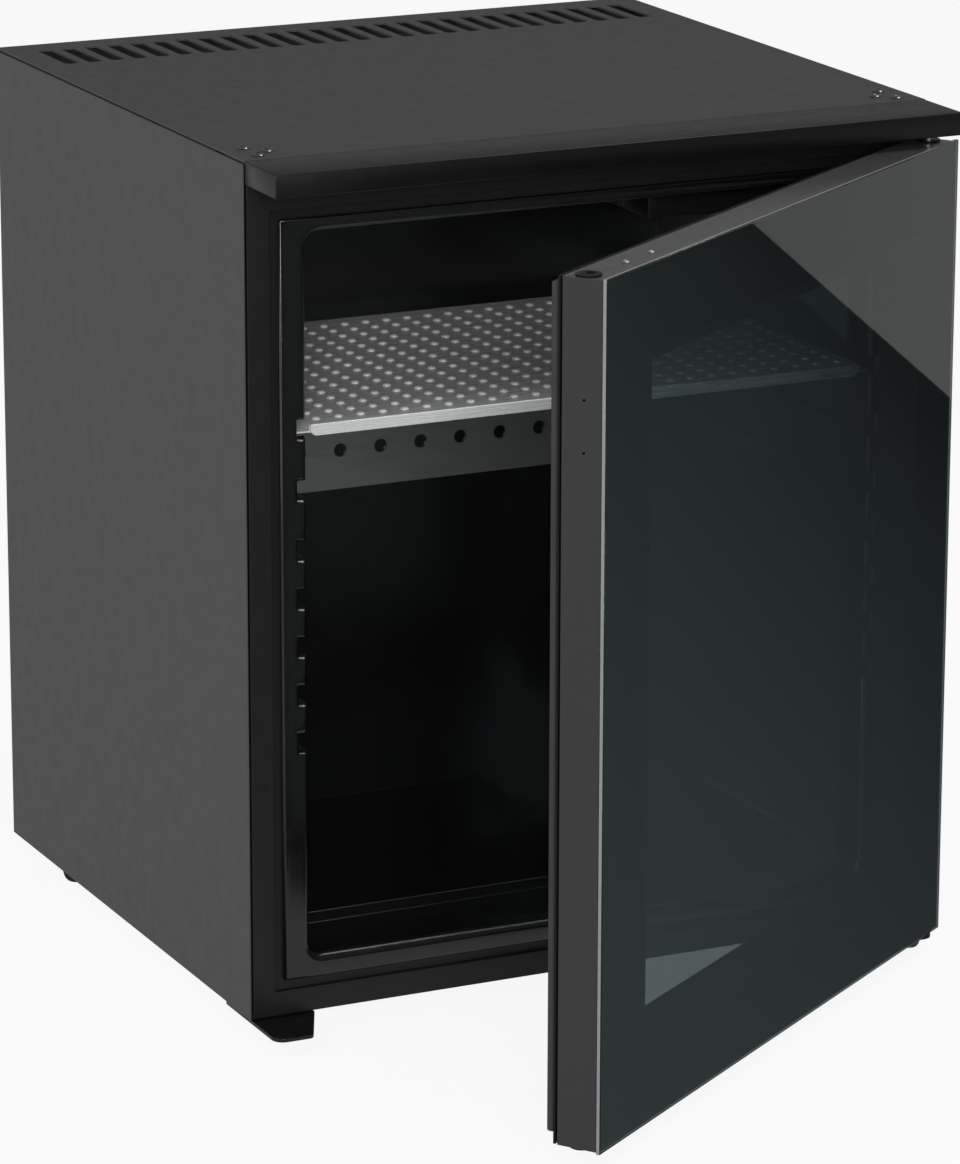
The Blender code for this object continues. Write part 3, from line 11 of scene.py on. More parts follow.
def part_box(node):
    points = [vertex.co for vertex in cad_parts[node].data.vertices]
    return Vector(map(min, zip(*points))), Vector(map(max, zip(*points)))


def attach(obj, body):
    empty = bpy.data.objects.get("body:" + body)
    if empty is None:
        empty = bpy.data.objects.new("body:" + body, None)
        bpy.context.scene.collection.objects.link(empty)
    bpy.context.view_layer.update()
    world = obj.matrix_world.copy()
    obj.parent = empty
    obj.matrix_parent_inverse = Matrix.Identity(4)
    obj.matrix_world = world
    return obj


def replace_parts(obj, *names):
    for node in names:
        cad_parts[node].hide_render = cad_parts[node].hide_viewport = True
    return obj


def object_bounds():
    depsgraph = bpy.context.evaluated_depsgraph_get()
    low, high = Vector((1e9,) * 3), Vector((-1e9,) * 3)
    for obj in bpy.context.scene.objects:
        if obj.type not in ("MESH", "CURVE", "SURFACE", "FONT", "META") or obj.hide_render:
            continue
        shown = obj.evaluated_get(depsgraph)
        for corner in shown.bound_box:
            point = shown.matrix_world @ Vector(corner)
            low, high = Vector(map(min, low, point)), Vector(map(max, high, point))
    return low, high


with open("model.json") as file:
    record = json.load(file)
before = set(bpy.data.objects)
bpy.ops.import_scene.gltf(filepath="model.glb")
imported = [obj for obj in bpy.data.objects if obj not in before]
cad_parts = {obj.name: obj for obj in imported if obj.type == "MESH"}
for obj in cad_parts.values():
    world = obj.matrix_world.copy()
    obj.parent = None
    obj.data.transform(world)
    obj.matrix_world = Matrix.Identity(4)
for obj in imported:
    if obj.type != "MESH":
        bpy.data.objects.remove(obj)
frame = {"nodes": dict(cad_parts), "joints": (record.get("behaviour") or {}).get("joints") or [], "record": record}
nodes = frame["nodes"]
cadLow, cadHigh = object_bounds()
print("frame loaded:", len(nodes), "nodes")

# The photo's camera, worked out from the edges of the cabinet and the door
view = {
    "imageWidth": 960,
    "imageHeight": 1164,
    "focalPixels": 5597.0,
    "place": (-1.54247, -3.12807, 1.2403),
    "yaw": 25.456,
    "pitch": 15.743,
    "roll": 0.134,
    "sensor": 36.0,  # millimetres along the longer side
    "clipStart": 0.1,
    "clipEnd": 60,
}


def cameraAxes():
    yaw, pitch, roll = (math.radians(view[key]) for key in ("yaw", "pitch", "roll"))
    look = Vector((math.sin(yaw) * math.cos(pitch), math.cos(yaw) * math.cos(pitch), -math.sin(pitch)))
    right = Vector((math.cos(yaw), -math.sin(yaw), 0))
    up = right.cross(look)
    turnedRight = right * math.cos(roll) + up * math.sin(roll)
    turnedUp = up * math.cos(roll) - right * math.sin(roll)
    return turnedRight, turnedUp, look


def makeCamera():
    right, up, look = cameraAxes()
    data = bpy.data.cameras.new("camera")
    data.sensor_width = view["sensor"]
    data.lens = view["focalPixels"] / view["imageHeight"] * view["sensor"]
    data.clip_start = view["clipStart"]
    data.clip_end = view["clipEnd"]
    camera = bpy.data.objects.new("camera", data)
    bpy.context.scene.collection.objects.link(camera)
    turn = Matrix((right, up, -look)).transposed().to_4x4()
    camera.matrix_world = Matrix.Translation(view["place"]) @ turn
    bpy.context.scene.camera = camera


# Direction from the camera through a pixel of the photo
def rayThrough(pixel):
    right, up, look = cameraAxes()
    across = (pixel[0] - view["imageWidth"] / 2) / view["focalPixels"]
    down = (pixel[1] - view["imageHeight"] / 2) / view["focalPixels"]
    return look + right * across - up * down


makeCamera()
bpy.context.scene.view_settings.view_transform = "Standard"
print("camera placed")


# Node helpers


class Finish:  # a material being built: its tree, its shader and its Object coordinates
    def __init__(self, name):
        self.material = bpy.data.materials.new(name)
        self.material.use_nodes = True
        self.tree = self.material.node_tree
        self.shader = self.tree.nodes["Principled BSDF"]
        self.place = self.tree.nodes.new("ShaderNodeTexCoord").outputs["Object"]

    def add(self, kind, **settings):
        made = self.tree.nodes.new(kind)
        for key, value in settings.items():
            setattr(made, key, value)
        return made

    def link(self, source, target):
        self.tree.links.new(source, target)

    def set(self, **values):
        names = {
            "roughness": "Roughness",
            "metallic": "Metallic",
            "specular": "Specular IOR Level",
            "transmission": "Transmission Weight",
            "ior": "IOR",
        }
        for key, value in values.items():
            self.shader.inputs[names[key]].default_value = value

    def stretched(self, scale, stretch):
        mapping = self.add("ShaderNodeMapping")
        mapping.inputs["Scale"].default_value = [scale * s for s in stretch]
        self.link(self.place, mapping.inputs["Vector"])
        return mapping.outputs["Vector"]

    def noise(self, scale, detail=2.0, stretch=(1, 1, 1)):
        made = self.add("ShaderNodeTexNoise")
        made.inputs["Scale"].default_value = 1.0
        made.inputs["Detail"].default_value = detail
        self.link(self.stretched(scale, stretch), made.inputs["Vector"])
        return made.outputs["Fac"]

    def cells(self, scale, output):
        made = self.add("ShaderNodeTexVoronoi")
        made.inputs["Scale"].default_value = 1.0
        self.link(self.stretched(scale, (1, 1, 1)), made.inputs["Vector"])
        return made.outputs[output]

    def between(self, factor, low, high, start=0.3, stop=0.7):  # most noise lies from start to stop
        made = self.add("ShaderNodeMapRange")
        made.inputs["From Min"].default_value = start
        made.inputs["From Max"].default_value = stop
        made.inputs["To Min"].default_value = low
        made.inputs["To Max"].default_value = high
        self.link(factor, made.inputs["Value"])
        return made.outputs["Result"]

    def colours(self, factor, first, second):
        made = self.add("ShaderNodeMix", data_type="RGBA")
        made.inputs["A"].default_value = (*first, 1)
        made.inputs["B"].default_value = (*second, 1)
        self.link(factor, made.inputs["Factor"])
        self.link(made.outputs["Result"], self.shader.inputs["Base Color"])

    def tint(self, factor, colour, spread):
        self.colours(factor, *([c * share for c in colour] for share in spread))

    def rough(self, factor, spread):
        self.link(self.between(factor, *spread), self.shader.inputs["Roughness"])

    def bump(self, height, depth, strength):
        made = self.add("ShaderNodeBump")
        made.inputs["Strength"].default_value = strength
        made.inputs["Distance"].default_value = depth
        self.link(height, made.inputs["Height"])
        last = self.shader.inputs["Normal"]
        if last.is_linked:
            self.link(last.links[0].from_socket, made.inputs["Normal"])
        self.link(made.outputs["Normal"], last)


# Finishes: scales are per metre and depths in metres. Clouds, polish, grain and dents are the scale
# and the detail of a noise. Tints are pairs of factors on the colour.

paintLook = {  # powder coat: a fine pebbled grain and very slight clouds
    "colour": (0.050, 0.051, 0.0505),
    "specular": 0.30,
    "clouds": (220.0, 5.0),
    "cloudTint": (0.94, 1.06),
    "polish": (90.0, 5.0),
    "roughness": (0.40, 0.47),
    "grain": (900.0, 2.0),
    "grainDepth": 0.00010,
    "relief": 0.35,
}
# Front frame: the cabinet's paint darkened, as painted shade of its unlit front
frameShadeLook = {**paintLook, "colour": (0.010, 0.010, 0.011), "roughness": (0.34, 0.44)}
blackSteelLook = {**paintLook, "colour": (0.007, 0.007, 0.008), "specular": 0.4, "roughness": (0.10, 0.17)}
tubePaintLook = {**paintLook, "colour": (0.016, 0.016, 0.017), "specular": 0.45, "roughness": (0.36, 0.50)}
doorLook = {  # smoother than the cabinet's
    **paintLook,
    "colour": (0.025, 0.0254, 0.0254),
    "specular": 0.45,
    "roughness": (0.20, 0.28),
    "grain": (1100.0, 2.0),
    "grainDepth": 0.00005,
}
# The door's top: the door paint lightened, as a painted highlight
doorTopPaintedLightLook = {**doorLook, "colour": (0.066, 0.067, 0.067)}
trimPaintLook = {
    **paintLook,
    "colour": (0.017, 0.0173, 0.0173),
    "specular": 0.32,
    "roughness": (0.32, 0.40),
    "grain": (1400.0, 2.0),
    "grainDepth": 0.00004,
}
borderLook = {
    **paintLook,
    "colour": (0.003, 0.003, 0.0032),
    "specular": 0.08,
    "roughness": (0.5, 0.6),
    "grain": (300.0, 2.0),
    "grainDepth": 0.00001,
}
linerLook = {  # vacuum formed gloss plastic: a slow wave in the sheet and a faint haze
    "colour": (0.0036, 0.0036, 0.0038),
    "specular": 0.8,
    "clouds": (6.0, 2.0),
    "cloudTint": (0.8, 1.3),
    "polish": (70.0, 4.0),
    "roughness": (0.17, 0.24),
    "grain": (14.0, 1.0),
    "grainDepth": 0.0006,
    "relief": 0.25,
}
rubberLook = {
    "colour": (0.014, 0.014, 0.014),
    "specular": 0.12,
    "clouds": (30.0, 3.0),
    "cloudTint": (0.8, 1.25),
    "polish": (200.0, 3.0),
    "roughness": (0.62, 0.78),
    "grain": (1500.0, 2.0),
    "grainDepth": 0.00006,
    "relief": 0.4,
}
gasketLook = {**rubberLook, "colour": (0.038, 0.038, 0.039), "roughness": (0.45, 0.60)}
# Ground edge: frosted, and its pale colour a painted highlight of the light the edge catches
groundEdgeHighlightLook = {  # the ground edge of a pane, which looks frosted
    "colour": (0.20, 0.215, 0.21),
    "specular": 0.5,
    "clouds": (300.0, 3.0),
    "cloudTint": (0.85, 1.15),
    "polish": (500.0, 2.0),
    "roughness": (0.28, 0.42),
    "grain": (1800.0, 1.0),
    "grainDepth": 0.00003,
    "relief": 0.3,
}
# Black trim: its near-black colour on the trim's front face is painted shade
trimLook = {  # moulded plastic, its grain made of small cells
    "colour": (0.0045, 0.0045, 0.005),
    "specular": 0.20,
    "clouds": (9.0, 2.0),
    "cloudTint": (0.85, 1.2),
    "polish": (120.0, 3.0),
    "roughness": (0.28, 0.36),
    "cells": 1400.0,
    "grainDepth": 0.00004,
    "relief": 0.3,
}


# Clouds in the colour, an uneven polish and a fine relief
def plainFinish(name, look):
    finish = Finish(name)
    finish.set(specular=look["specular"])
    finish.tint(finish.noise(*look["clouds"]), look["colour"], look["cloudTint"])
    finish.rough(finish.noise(*look["polish"]), look["roughness"])
    if "cells" in look:
        height = finish.cells(look["cells"], "Distance")
    else:
        height = finish.noise(*look["grain"])
    finish.bump(height, look["grainDepth"], look["relief"])
    return finish.material


steelLook = {
    "colour": (0.60, 0.60, 0.61),
    "metallic": 1.0,
    "roughness": (0.25, 0.38),
    "brush": (900.0, 2.0),
    "stretch": (1, 1, 1),
    "tint": (0.88, 1.08),
    "lineDepth": 0.00004,
    "lineRelief": 0.3,
    "dents": (11.0, 2.0),
    "dentDepth": 0.0004,
    "dentRelief": 0.15,
}
screwSteelLook = {**steelLook, "colour": (0.26, 0.26, 0.265), "roughness": (0.20, 0.32)}
shelfMetalLook = {
    **steelLook,
    "colour": (0.82, 0.83, 0.83),
    "metallic": 0.35,
    "roughness": (0.22, 0.32),
    "brush": (1500.0, 2.0),
    "stretch": (0.02, 1, 1),
}
plateMetalLook = {
    **steelLook,
    "colour": (0.36, 0.365, 0.36),
    "metallic": 0.85,
    "roughness": (0.34, 0.48),
    "brush": (1200.0, 2.0),
    "stretch": (0.02, 1, 1),
}


# Fine lines that also steer the tint and the polish, over slow dents
def brushedMetal(name, look):
    finish = Finish(name)
    finish.set(metallic=look["metallic"])
    lines = finish.noise(*look["brush"], look["stretch"])
    finish.tint(lines, look["colour"], look["tint"])
    finish.rough(lines, look["roughness"])
    finish.bump(lines, look["lineDepth"], look["lineRelief"])
    finish.bump(finish.noise(*look["dents"]), look["dentDepth"], look["dentRelief"])
    return finish.material


zincLook = {
    "colour": (0.40, 0.41, 0.42),
    "metallic": 0.9,
    "crystals": 110.0,
    "tint": (0.78, 1.15),
    "roughness": (0.36, 0.52),
    "grain": (500.0, 2.0),
    "grainDepth": 0.00004,
    "relief": 0.3,
}


# Zinc spangle: flat crystals of different brightness
def galvanisedSheet(name, look):
    finish = Finish(name)
    finish.set(metallic=look["metallic"])
    crystals = finish.cells(look["crystals"], "Color")
    finish.tint(crystals, look["colour"], look["tint"])
    finish.rough(crystals, look["roughness"])
    finish.bump(finish.noise(*look["grain"]), look["grainDepth"], look["relief"])
    return finish.material


glassLook = {
    "smoke": (0.30, 0.355, 0.355),
    "clear": (0.86, 0.90, 0.885),
    "clouds": (3.0, 1.0),
    "tint": (0.985, 1.0),
    "ior": 1.5,
}


# Float glass, its tint very slightly uneven
def paneGlass(name, colour):
    finish = Finish(name)
    finish.set(transmission=1.0, ior=glassLook["ior"], roughness=0.0)
    finish.tint(finish.noise(*glassLook["clouds"]), colour, glassLook["tint"])
    return finish.material


foamLook = {
    "dark": (0.70, 0.60, 0.36),
    "light": (0.80, 0.71, 0.48),
    "roughness": 0.9,
    "clouds": (60.0, 4.0),
    "bubbles": 900.0,
    "bubbleDepth": 0.0004,
    "relief": 0.6,
}


def rigidFoam(name, look):
    finish = Finish(name)
    finish.set(roughness=look["roughness"])
    finish.colours(finish.noise(*look["clouds"]), look["dark"], look["light"])
    finish.bump(finish.cells(look["bubbles"], "Distance"), look["bubbleDepth"], look["relief"])
    return finish.material


lensLook = {
    "dark": (0.80, 0.83, 0.86),
    "light": (0.88, 0.90, 0.92),
    "transmission": 0.55,
    "ior": 1.49,
    "roughness": 0.35,
    "clouds": (30.0, 2.0),
    "grain": (900.0, 2.0),
    "grainDepth": 0.0001,
    "relief": 0.4,
}


def frostedLens(name, look):
    finish = Finish(name)
    finish.set(transmission=look["transmission"], ior=look["ior"], roughness=look["roughness"])
    finish.colours(finish.noise(*look["clouds"]), look["dark"], look["light"])
    finish.bump(finish.noise(*look["grain"]), look["grainDepth"], look["relief"])
    return finish.material


finishes = {
    "dark_grey_paint": plainFinish("dark_grey_paint", paintLook),
    "black_trim": plainFinish("black_trim", trimLook),
    "black_front_frame": plainFinish("black_front_frame", frameShadeLook),
    "gloss_black_liner": plainFinish("gloss_black_liner", linerLook),
    "bright_steel": brushedMetal("bright_steel", steelLook),
    "galvanised_steel": galvanisedSheet("galvanised_steel", zincLook),
    "black_steel": plainFinish("black_steel", blackSteelLook),
    "bright_aluminium": brushedMetal("bright_aluminium", shelfMetalLook),
    "grey_aluminium": brushedMetal("grey_aluminium", plateMetalLook),
    "black_rubber": plainFinish("black_rubber", rubberLook),
    "door_gasket": plainFinish("door_gasket", gasketLook),
    "insulation_foam": rigidFoam("insulation_foam", foamLook),
    "smoked_glass": paneGlass("smoked_glass", glassLook["smoke"]),
    "clear_glass": paneGlass("clear_glass", glassLook["clear"]),
    "lamp_lens": frostedLens("lamp_lens", lensLook),
    "black_tube": plainFinish("black_tube", tubePaintLook),
}
screwSteel = brushedMetal("screw_steel", screwSteelLook)
glassEdgeHighlight = plainFinish("glass_edge", groundEdgeHighlightLook)
doorPaint = plainFinish("door_paint", doorLook)
trimPaint = plainFinish("trim_paint", trimPaintLook)
doorTopPaintedLight = plainFinish("door_top_paint", doorTopPaintedLightLook)
glassBorder = plainFinish("glass_border", borderLook)
print("finishes made:", len(finishes))


# Shape helpers

meshRules = {
    "weld": 0.00002,  # corners nearer than this are one
    "spinWeld": 0.000005,
    "near": 0.0001,  # two places within this are taken for the same
    "flat": 1.0,  # degrees; faces that differ less are joined
    "sharp": 40.0,  # degrees; edges above this are rounded
    "crease": 35.0,  # degrees; edges above this are shaded sharp
    "smoothCrease": 50.0,  # the same for turned and bent pieces
}

slotOf = {part["node"]: part["material_slot"] for part in frame["record"]["subparts"]}
bodies = frame["record"]["behaviour"]["bodies"]
bodyOf = {member: body for body, members in bodies.items() for member in members}


def pieceFrom(bm, name, slotName, body, crease=meshRules["crease"]):
    mesh = bpy.data.meshes.new(name)
    bm.to_mesh(mesh)
    bm.free()
    mesh.shade_smooth()
    mesh.set_sharp_from_angle(angle=math.radians(crease))
    piece = bpy.data.objects.new(name, mesh)
    bpy.context.scene.collection.objects.link(piece)
    mesh.materials.append(finishes[slotName])
    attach(piece, body)
    return piece


# The finished piece of a CAD node, on the node's own body and slot
def pieceFor(bm, node, crease=meshRules["crease"]):
    return pieceFrom(bm, node + "_finished", slotOf[node], bodyOf[node], crease)


# The node's solid with its loose triangles joined into flat faces
def mergedCopy(node):
    bm = bmesh.new()
    bm.from_mesh(nodes[node].data)
    bmesh.ops.remove_doubles(bm, verts=bm.verts, dist=meshRules["weld"])
    bmesh.ops.dissolve_limit(
        bm,
        angle_limit=math.radians(meshRules["flat"]),
        verts=bm.verts,
        edges=bm.edges,
        delimit={"NORMAL"},
    )
    return bm


def rounded(piece, width, segments=2, angle=meshRules["sharp"]):
    made = piece.modifiers.new("rounded edges", "BEVEL")
    made.width = width
    made.segments = segments
    made.limit_method = "ANGLE"
    made.angle_limit = math.radians(angle)
    made.use_clamp_overlap = True
    made.harden_normals = True


# A copy of a CAD node with rounded edges, in its place
def softened(node, width, segments):
    piece = pieceFor(mergedCopy(node), node)
    rounded(piece, width, segments)
    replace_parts(piece, node)
    return piece


# Sharp edges whose two ends both pass the test
def edgesWhere(bm, test):
    limit = math.radians(meshRules["sharp"])
    sharp = [edge for edge in bm.edges if edge.is_manifold and edge.calc_face_angle() > limit]
    return [edge for edge in sharp if all(test(vert.co) for vert in edge.verts)]


def roundEdges(bm, edges, width, steps, clamped=True):
    bmesh.ops.bevel(
        bm,
        geom=edges,
        offset=width,
        offset_type="OFFSET",
        segments=steps,
        profile=0.5,
        affect="EDGES",
        material=-1,
        clamp_overlap=clamped,
    )


def boxInto(bm, low, high):
    made = bmesh.ops.create_cube(bm, size=1.0)["verts"]
    low, high = Vector(low), Vector(high)
    bmesh.ops.scale(bm, vec=high - low, verts=made)
    bmesh.ops.translate(bm, vec=(low + high) / 2, verts=made)


# A closed turned shape round Z, from (radius, height) points drawn from its top to its bottom
def spunProfile(bm, profile, steps=48):
    verts = [bm.verts.new((radius, 0, height)) for radius, height in profile]
    edges = [bm.edges.new(pair) for pair in zip(verts, verts[1:])]
    bmesh.ops.spin(
        bm,
        geom=verts + edges,
        cent=(0, 0, 0),
        axis=(0, 0, 1),
        angle=math.tau,
        steps=steps,
        use_merge=True,
    )
    bmesh.ops.remove_doubles(bm, verts=bm.verts, dist=meshRules["spinWeld"])
    bmesh.ops.recalc_face_normals(bm, faces=bm.faces)


def placed(bm, turn, place):
    bmesh.ops.transform(bm, matrix=Matrix.Translation(place) @ turn, verts=bm.verts)


# How wide the edges of each CAD node are rounded, and in how many steps

edgeWidths = {
    "top_trim": (0.0004, 2),
    "top_panel": (0.0004, 2),
    "front_frame": (0.0007, 3),
    "base_pan": (0.0003, 1),
    "rear_panel": (0.0002, 1),
    "evaporator_plate": (0.0004, 2),
    "evaporator_block": (0.0006, 1),
    "lamp_housing": (0.0006, 2),
    "lamp_lens": (0.0005, 2),
    "temperature_sensor": (0.0010, 3),
    "upper_hinge_bracket": (0.0003, 2),
    "left_trim_bracket": (0.0003, 2),
    "upper_hinge_pin": (0.0004, 2),
    "left_foot_plate": (0.0005, 2),
    "foot_plate_rivet": (0.0001, 2),
    "lower_hinge_plate": (0.0005, 2),
    "lower_hinge_pin": (0.0004, 2),
    "insulation_foam": (0.0004, 1),
    "outer_glass": (0.0003, 2),
    "inner_glass": (0.0004, 2),
    "door_frame": (0.0009, 3),
    "glass_spacer": (0.0003, 1),
    "inner_trim": (0.0006, 2),
    "gasket": (0.0016, 4),
    "upper_door_bush": (0.0003, 2),
    "lower_door_bush": (0.0003, 2),
    "upper_hole_plug": (0.0003, 2),
    "lower_hole_plug": (0.0003, 2),
    "boiler_cover": (0.0020, 3),
    "heater_cartridge": (0.0010, 2),
    "condenser": (0.0002, 1),
    "vessel_cradle": (0.0003, 1),
    "control_box": (0.0008, 2),
    "power_inlet": (0.0005, 2),
    "drip_tray": (0.0004, 2),
}

# How far a face's normal has to agree with a direction
facing = {"straight": 0.9, "edgeOn": 0.5}


def softenNodes():
    for node, (width, segments) in edgeWidths.items():
        piece = softened(node, width, segments)
        if node.endswith("_glass"):
            frostAndHighlightEdges(piece)
        if node == "door_frame":
            paintDoorAndTopHighlight(piece)
        if node == "top_trim":
            shadeTrimFront(piece)


# Outward from the face of the door, standing open as in the photo
def doorNormal():
    hinge = next(joint for joint in frame["joints"] if joint["name"] == "door_hinge")
    angle = math.radians(-hinge["range_deg"][0])
    return Vector((math.sin(angle), -math.cos(angle), 0))


# Lighter on the top of the leaf as a painted highlight, black behind the pane
def paintDoorAndTopHighlight(piece):
    outward = doorNormal()
    piece.data.materials[0] = doorPaint
    piece.data.materials.append(doorTopPaintedLight)
    piece.data.materials.append(glassBorder)
    for face in piece.data.polygons:
        # Upward faces take the lightened copy: painted highlight
        if face.normal.z > facing["straight"]:
            face.material_index = 1
        if face.normal.dot(outward) > facing["straight"]:
            face.material_index = 2


# The trim's front is black as painted shade of its unlit face; its top and ends are grey
def shadeTrimFront(piece):
    piece.data.materials.append(trimPaint)
    for face in piece.data.polygons:
        if face.normal.y > -facing["edgeOn"]:
            face.material_index = 1


# The narrow faces round a pane take the ground finish, frosted and pale as a painted highlight
def frostAndHighlightEdges(piece):
    piece.data.materials.append(glassEdgeHighlight)
    broadest = max(piece.data.polygons, key=lambda face: face.area).normal
    for face in piece.data.polygons:
        if abs(face.normal.dot(broadest)) < facing["edgeOn"]:
            face.material_index = 1


softenNodes()
print("edges rounded on", len(edgeWidths), "nodes")


# Side panels: one folded sheet each, with finer bends than the frame's

panelLook = {
    "sheet": 0.0010,
    "rearReturn": 0.0120,
    "bend": 0.0025,
    "bendSteps": 10,
    "edge": 0.0004,
    "edgeSteps": 3,
    "edgeAngle": 60.0,
}


# Vertices of an arc that rounds one corner of a path
def bend(bm, start, corner, stop, radius, steps):
    start, corner, stop = Vector(start), Vector(corner), Vector(stop)
    first = corner + (start - corner).normalized() * radius
    last = corner + (stop - corner).normalized() * radius
    centre = first + last - corner
    made = []
    for i in range(steps + 1):
        part = math.pi / 2 * i / steps
        spoke = (first - centre) * math.cos(part) + (last - centre) * math.sin(part)
        made.append(bm.verts.new(centre + spoke))
    return made


def sidePanel(node, side):
    low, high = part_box(node)
    outer = low.x if side < 0 else high.x
    back = outer - side * panelLook["rearReturn"]
    path = [(outer, low.y, low.z), (outer, high.y, low.z), (back, high.y, low.z)]
    bm = bmesh.new()
    verts = [bm.verts.new(path[0])]
    verts += bend(bm, *path, panelLook["bend"], panelLook["bendSteps"])
    verts.append(bm.verts.new(path[2]))
    edges = [bm.edges.new(pair) for pair in zip(verts, verts[1:])]
    raised = bmesh.ops.extrude_edge_only(bm, edges=edges)["geom"]
    upper = [v for v in raised if isinstance(v, bmesh.types.BMVert)]
    bmesh.ops.translate(bm, vec=(0, 0, high.z - low.z), verts=upper)
    if side < 0:
        bmesh.ops.reverse_faces(bm, faces=bm.faces)
    piece = pieceFor(bm, node)
    made = piece.modifiers.new("sheet", "SOLIDIFY")
    made.thickness = panelLook["sheet"]
    made.offset = -1.0
    rounded(piece, panelLook["edge"], panelLook["edgeSteps"], panelLook["edgeAngle"])
    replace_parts(piece, node)


sidePanel("left_side_panel", -1)
sidePanel("right_side_panel", 1)
print("side panels folded")


# Liner: a rounded rim round its mouth and rounded lips on the floor trough

linerShape = {
    "flange": 0.0070,
    "rim": 0.0054,
    "rimSteps": 5,
    "trough": 0.0024,
    "troughSteps": 4,
    "troughSpan": 0.3700,
    "troughEnd": 0.0025,
    "troughBehind": 0.0040,  # the trough's lips lie between these distances from the front
    "troughWithin": 0.1000,
    "rest": 0.0007,
    "cutWeld": 0.00001,
    "flatAngle": 0.01,  # radians
}


# Cuts a mesh across X at the given places, then clears the slanting lines left in its flat faces
def squareUp(bm, places):
    for x in places:
        geom = bm.verts[:] + bm.edges[:] + bm.faces[:]
        bmesh.ops.bisect_plane(
            bm, geom=geom, dist=linerShape["cutWeld"], plane_co=(x, 0, 0), plane_no=(1, 0, 0)
        )

    def onCut(edge):
        return any(all(abs(vert.co.x - x) < meshRules["near"] for vert in edge.verts) for x in places)

    def isFlat(edge):
        return edge.is_manifold and edge.calc_face_angle() < linerShape["flatAngle"]

    flat = [edge for edge in bm.edges if isFlat(edge) and not onCut(edge)]
    bmesh.ops.dissolve_edges(bm, edges=flat, use_verts=True)


def dressLiner():
    low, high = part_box("inner_liner")
    bm = mergedCopy("inner_liner")
    near = meshRules["near"]
    middle = (low.x + high.x) / 2
    inset = linerShape["flange"]
    across = linerShape["troughSpan"] / 2
    squareUp(bm, (middle - across, middle + across))

    def onRim(co):
        return (
            abs(co.y - low.y) < near
            and abs(co.x - middle) < (high.x - low.x) / 2 - inset
            and low.z + inset < co.z < high.z - inset
        )

    floorLevel = min(v.co.z for v in bm.verts if onRim(v.co))

    def onTrough(co):
        inside = abs(co.x - middle) < across + linerShape["troughEnd"]
        behind = linerShape["troughBehind"] < co.y - low.y < linerShape["troughWithin"]
        return inside and behind and abs(co.z - floorLevel) < near

    roundEdges(bm, edgesWhere(bm, onTrough), linerShape["trough"], linerShape["troughSteps"])
    roundEdges(bm, edgesWhere(bm, onRim), linerShape["rim"], linerShape["rimSteps"], clamped=False)
    piece = pieceFor(bm, "inner_liner")
    rounded(piece, linerShape["rest"])
    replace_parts(piece, "inner_liner")


dressLiner()
print("liner rimmed")


# Shelf: bright sheet with a square grid of raised dots and a rounded front lip

shelfLook = {
    "foldLength": 0.0008,  # the lip's low corners are longer than this
    "foldDepth": 0.0015,  # and lie within this of its front
    "lipCorner": 0.0045,
    "cornerSteps": 6,
    "lipEdge": 0.0010,
    "edgeSteps": 4,
    "rest": 0.0003,
    "dotPitch": 0.0152,
    "dotColumns": 25,
    "dotRows": 16,
    "dotFirst": 0.0130,
    "dotRadius": 0.0030,
    "dotHeight": 0.0016,
    "dotSides": 12,
    "dotRings": 4,
    "dotCrease": 80.0,
}


# One dome, turned from a quarter of an ellipse
def dotShape():
    bm = bmesh.new()
    profile = []
    for i in range(shelfLook["dotRings"] + 1):
        angle = math.pi / 2 * i / shelfLook["dotRings"]
        profile.append((shelfLook["dotRadius"] * math.sin(angle), shelfLook["dotHeight"] * math.cos(angle)))
    spunProfile(bm, profile, shelfLook["dotSides"])
    mesh = bpy.data.meshes.new("dot")
    bm.to_mesh(mesh)
    bm.free()
    return mesh


def shelfDots(top, middle, front):
    bm = bmesh.new()
    dot = dotShape()
    for row in range(shelfLook["dotRows"]):
        for column in range(shelfLook["dotColumns"]):
            across = (column - (shelfLook["dotColumns"] - 1) / 2) * shelfLook["dotPitch"]
            along = front + shelfLook["dotFirst"] + row * shelfLook["dotPitch"]
            already = len(bm.verts)
            bm.from_mesh(dot)
            bm.verts.ensure_lookup_table()
            bmesh.ops.translate(bm, vec=(middle + across, along, top), verts=bm.verts[already:])
    bpy.data.meshes.remove(dot)
    pieceFrom(bm, "shelf_dots", "bright_aluminium", "cabinet", shelfLook["dotCrease"])


def dressShelf():
    low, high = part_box("shelf")
    bm = mergedCopy("shelf")
    near = meshRules["near"]
    corner = shelfLook["lipCorner"]

    def onLipEdge(co):
        return abs(co.y - low.y) < near and abs(co.z - high.z) < near

    def isLowCorner(edge):
        first, second = (vert.co for vert in edge.verts)
        along = abs(first.y - second.y) > shelfLook["foldLength"] and abs(first.x - second.x) < near
        inFront = max(first.y, second.y) < low.y + shelfLook["foldDepth"]
        return along and inFront and max(first.z, second.z) < high.z - corner

    corners = [edge for edge in bm.edges if isLowCorner(edge)]
    roundEdges(bm, corners, corner, shelfLook["cornerSteps"])
    roundEdges(bm, edgesWhere(bm, onLipEdge), shelfLook["lipEdge"], shelfLook["edgeSteps"])
    piece = pieceFor(bm, "shelf")
    rounded(piece, shelfLook["rest"])
    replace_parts(piece, "shelf")
    shelfDots(high.z, (low.x + high.x) / 2, low.y)


dressShelf()
print("shelf dotted")


# Tubes of the cooling unit, drawn again with rounder sections

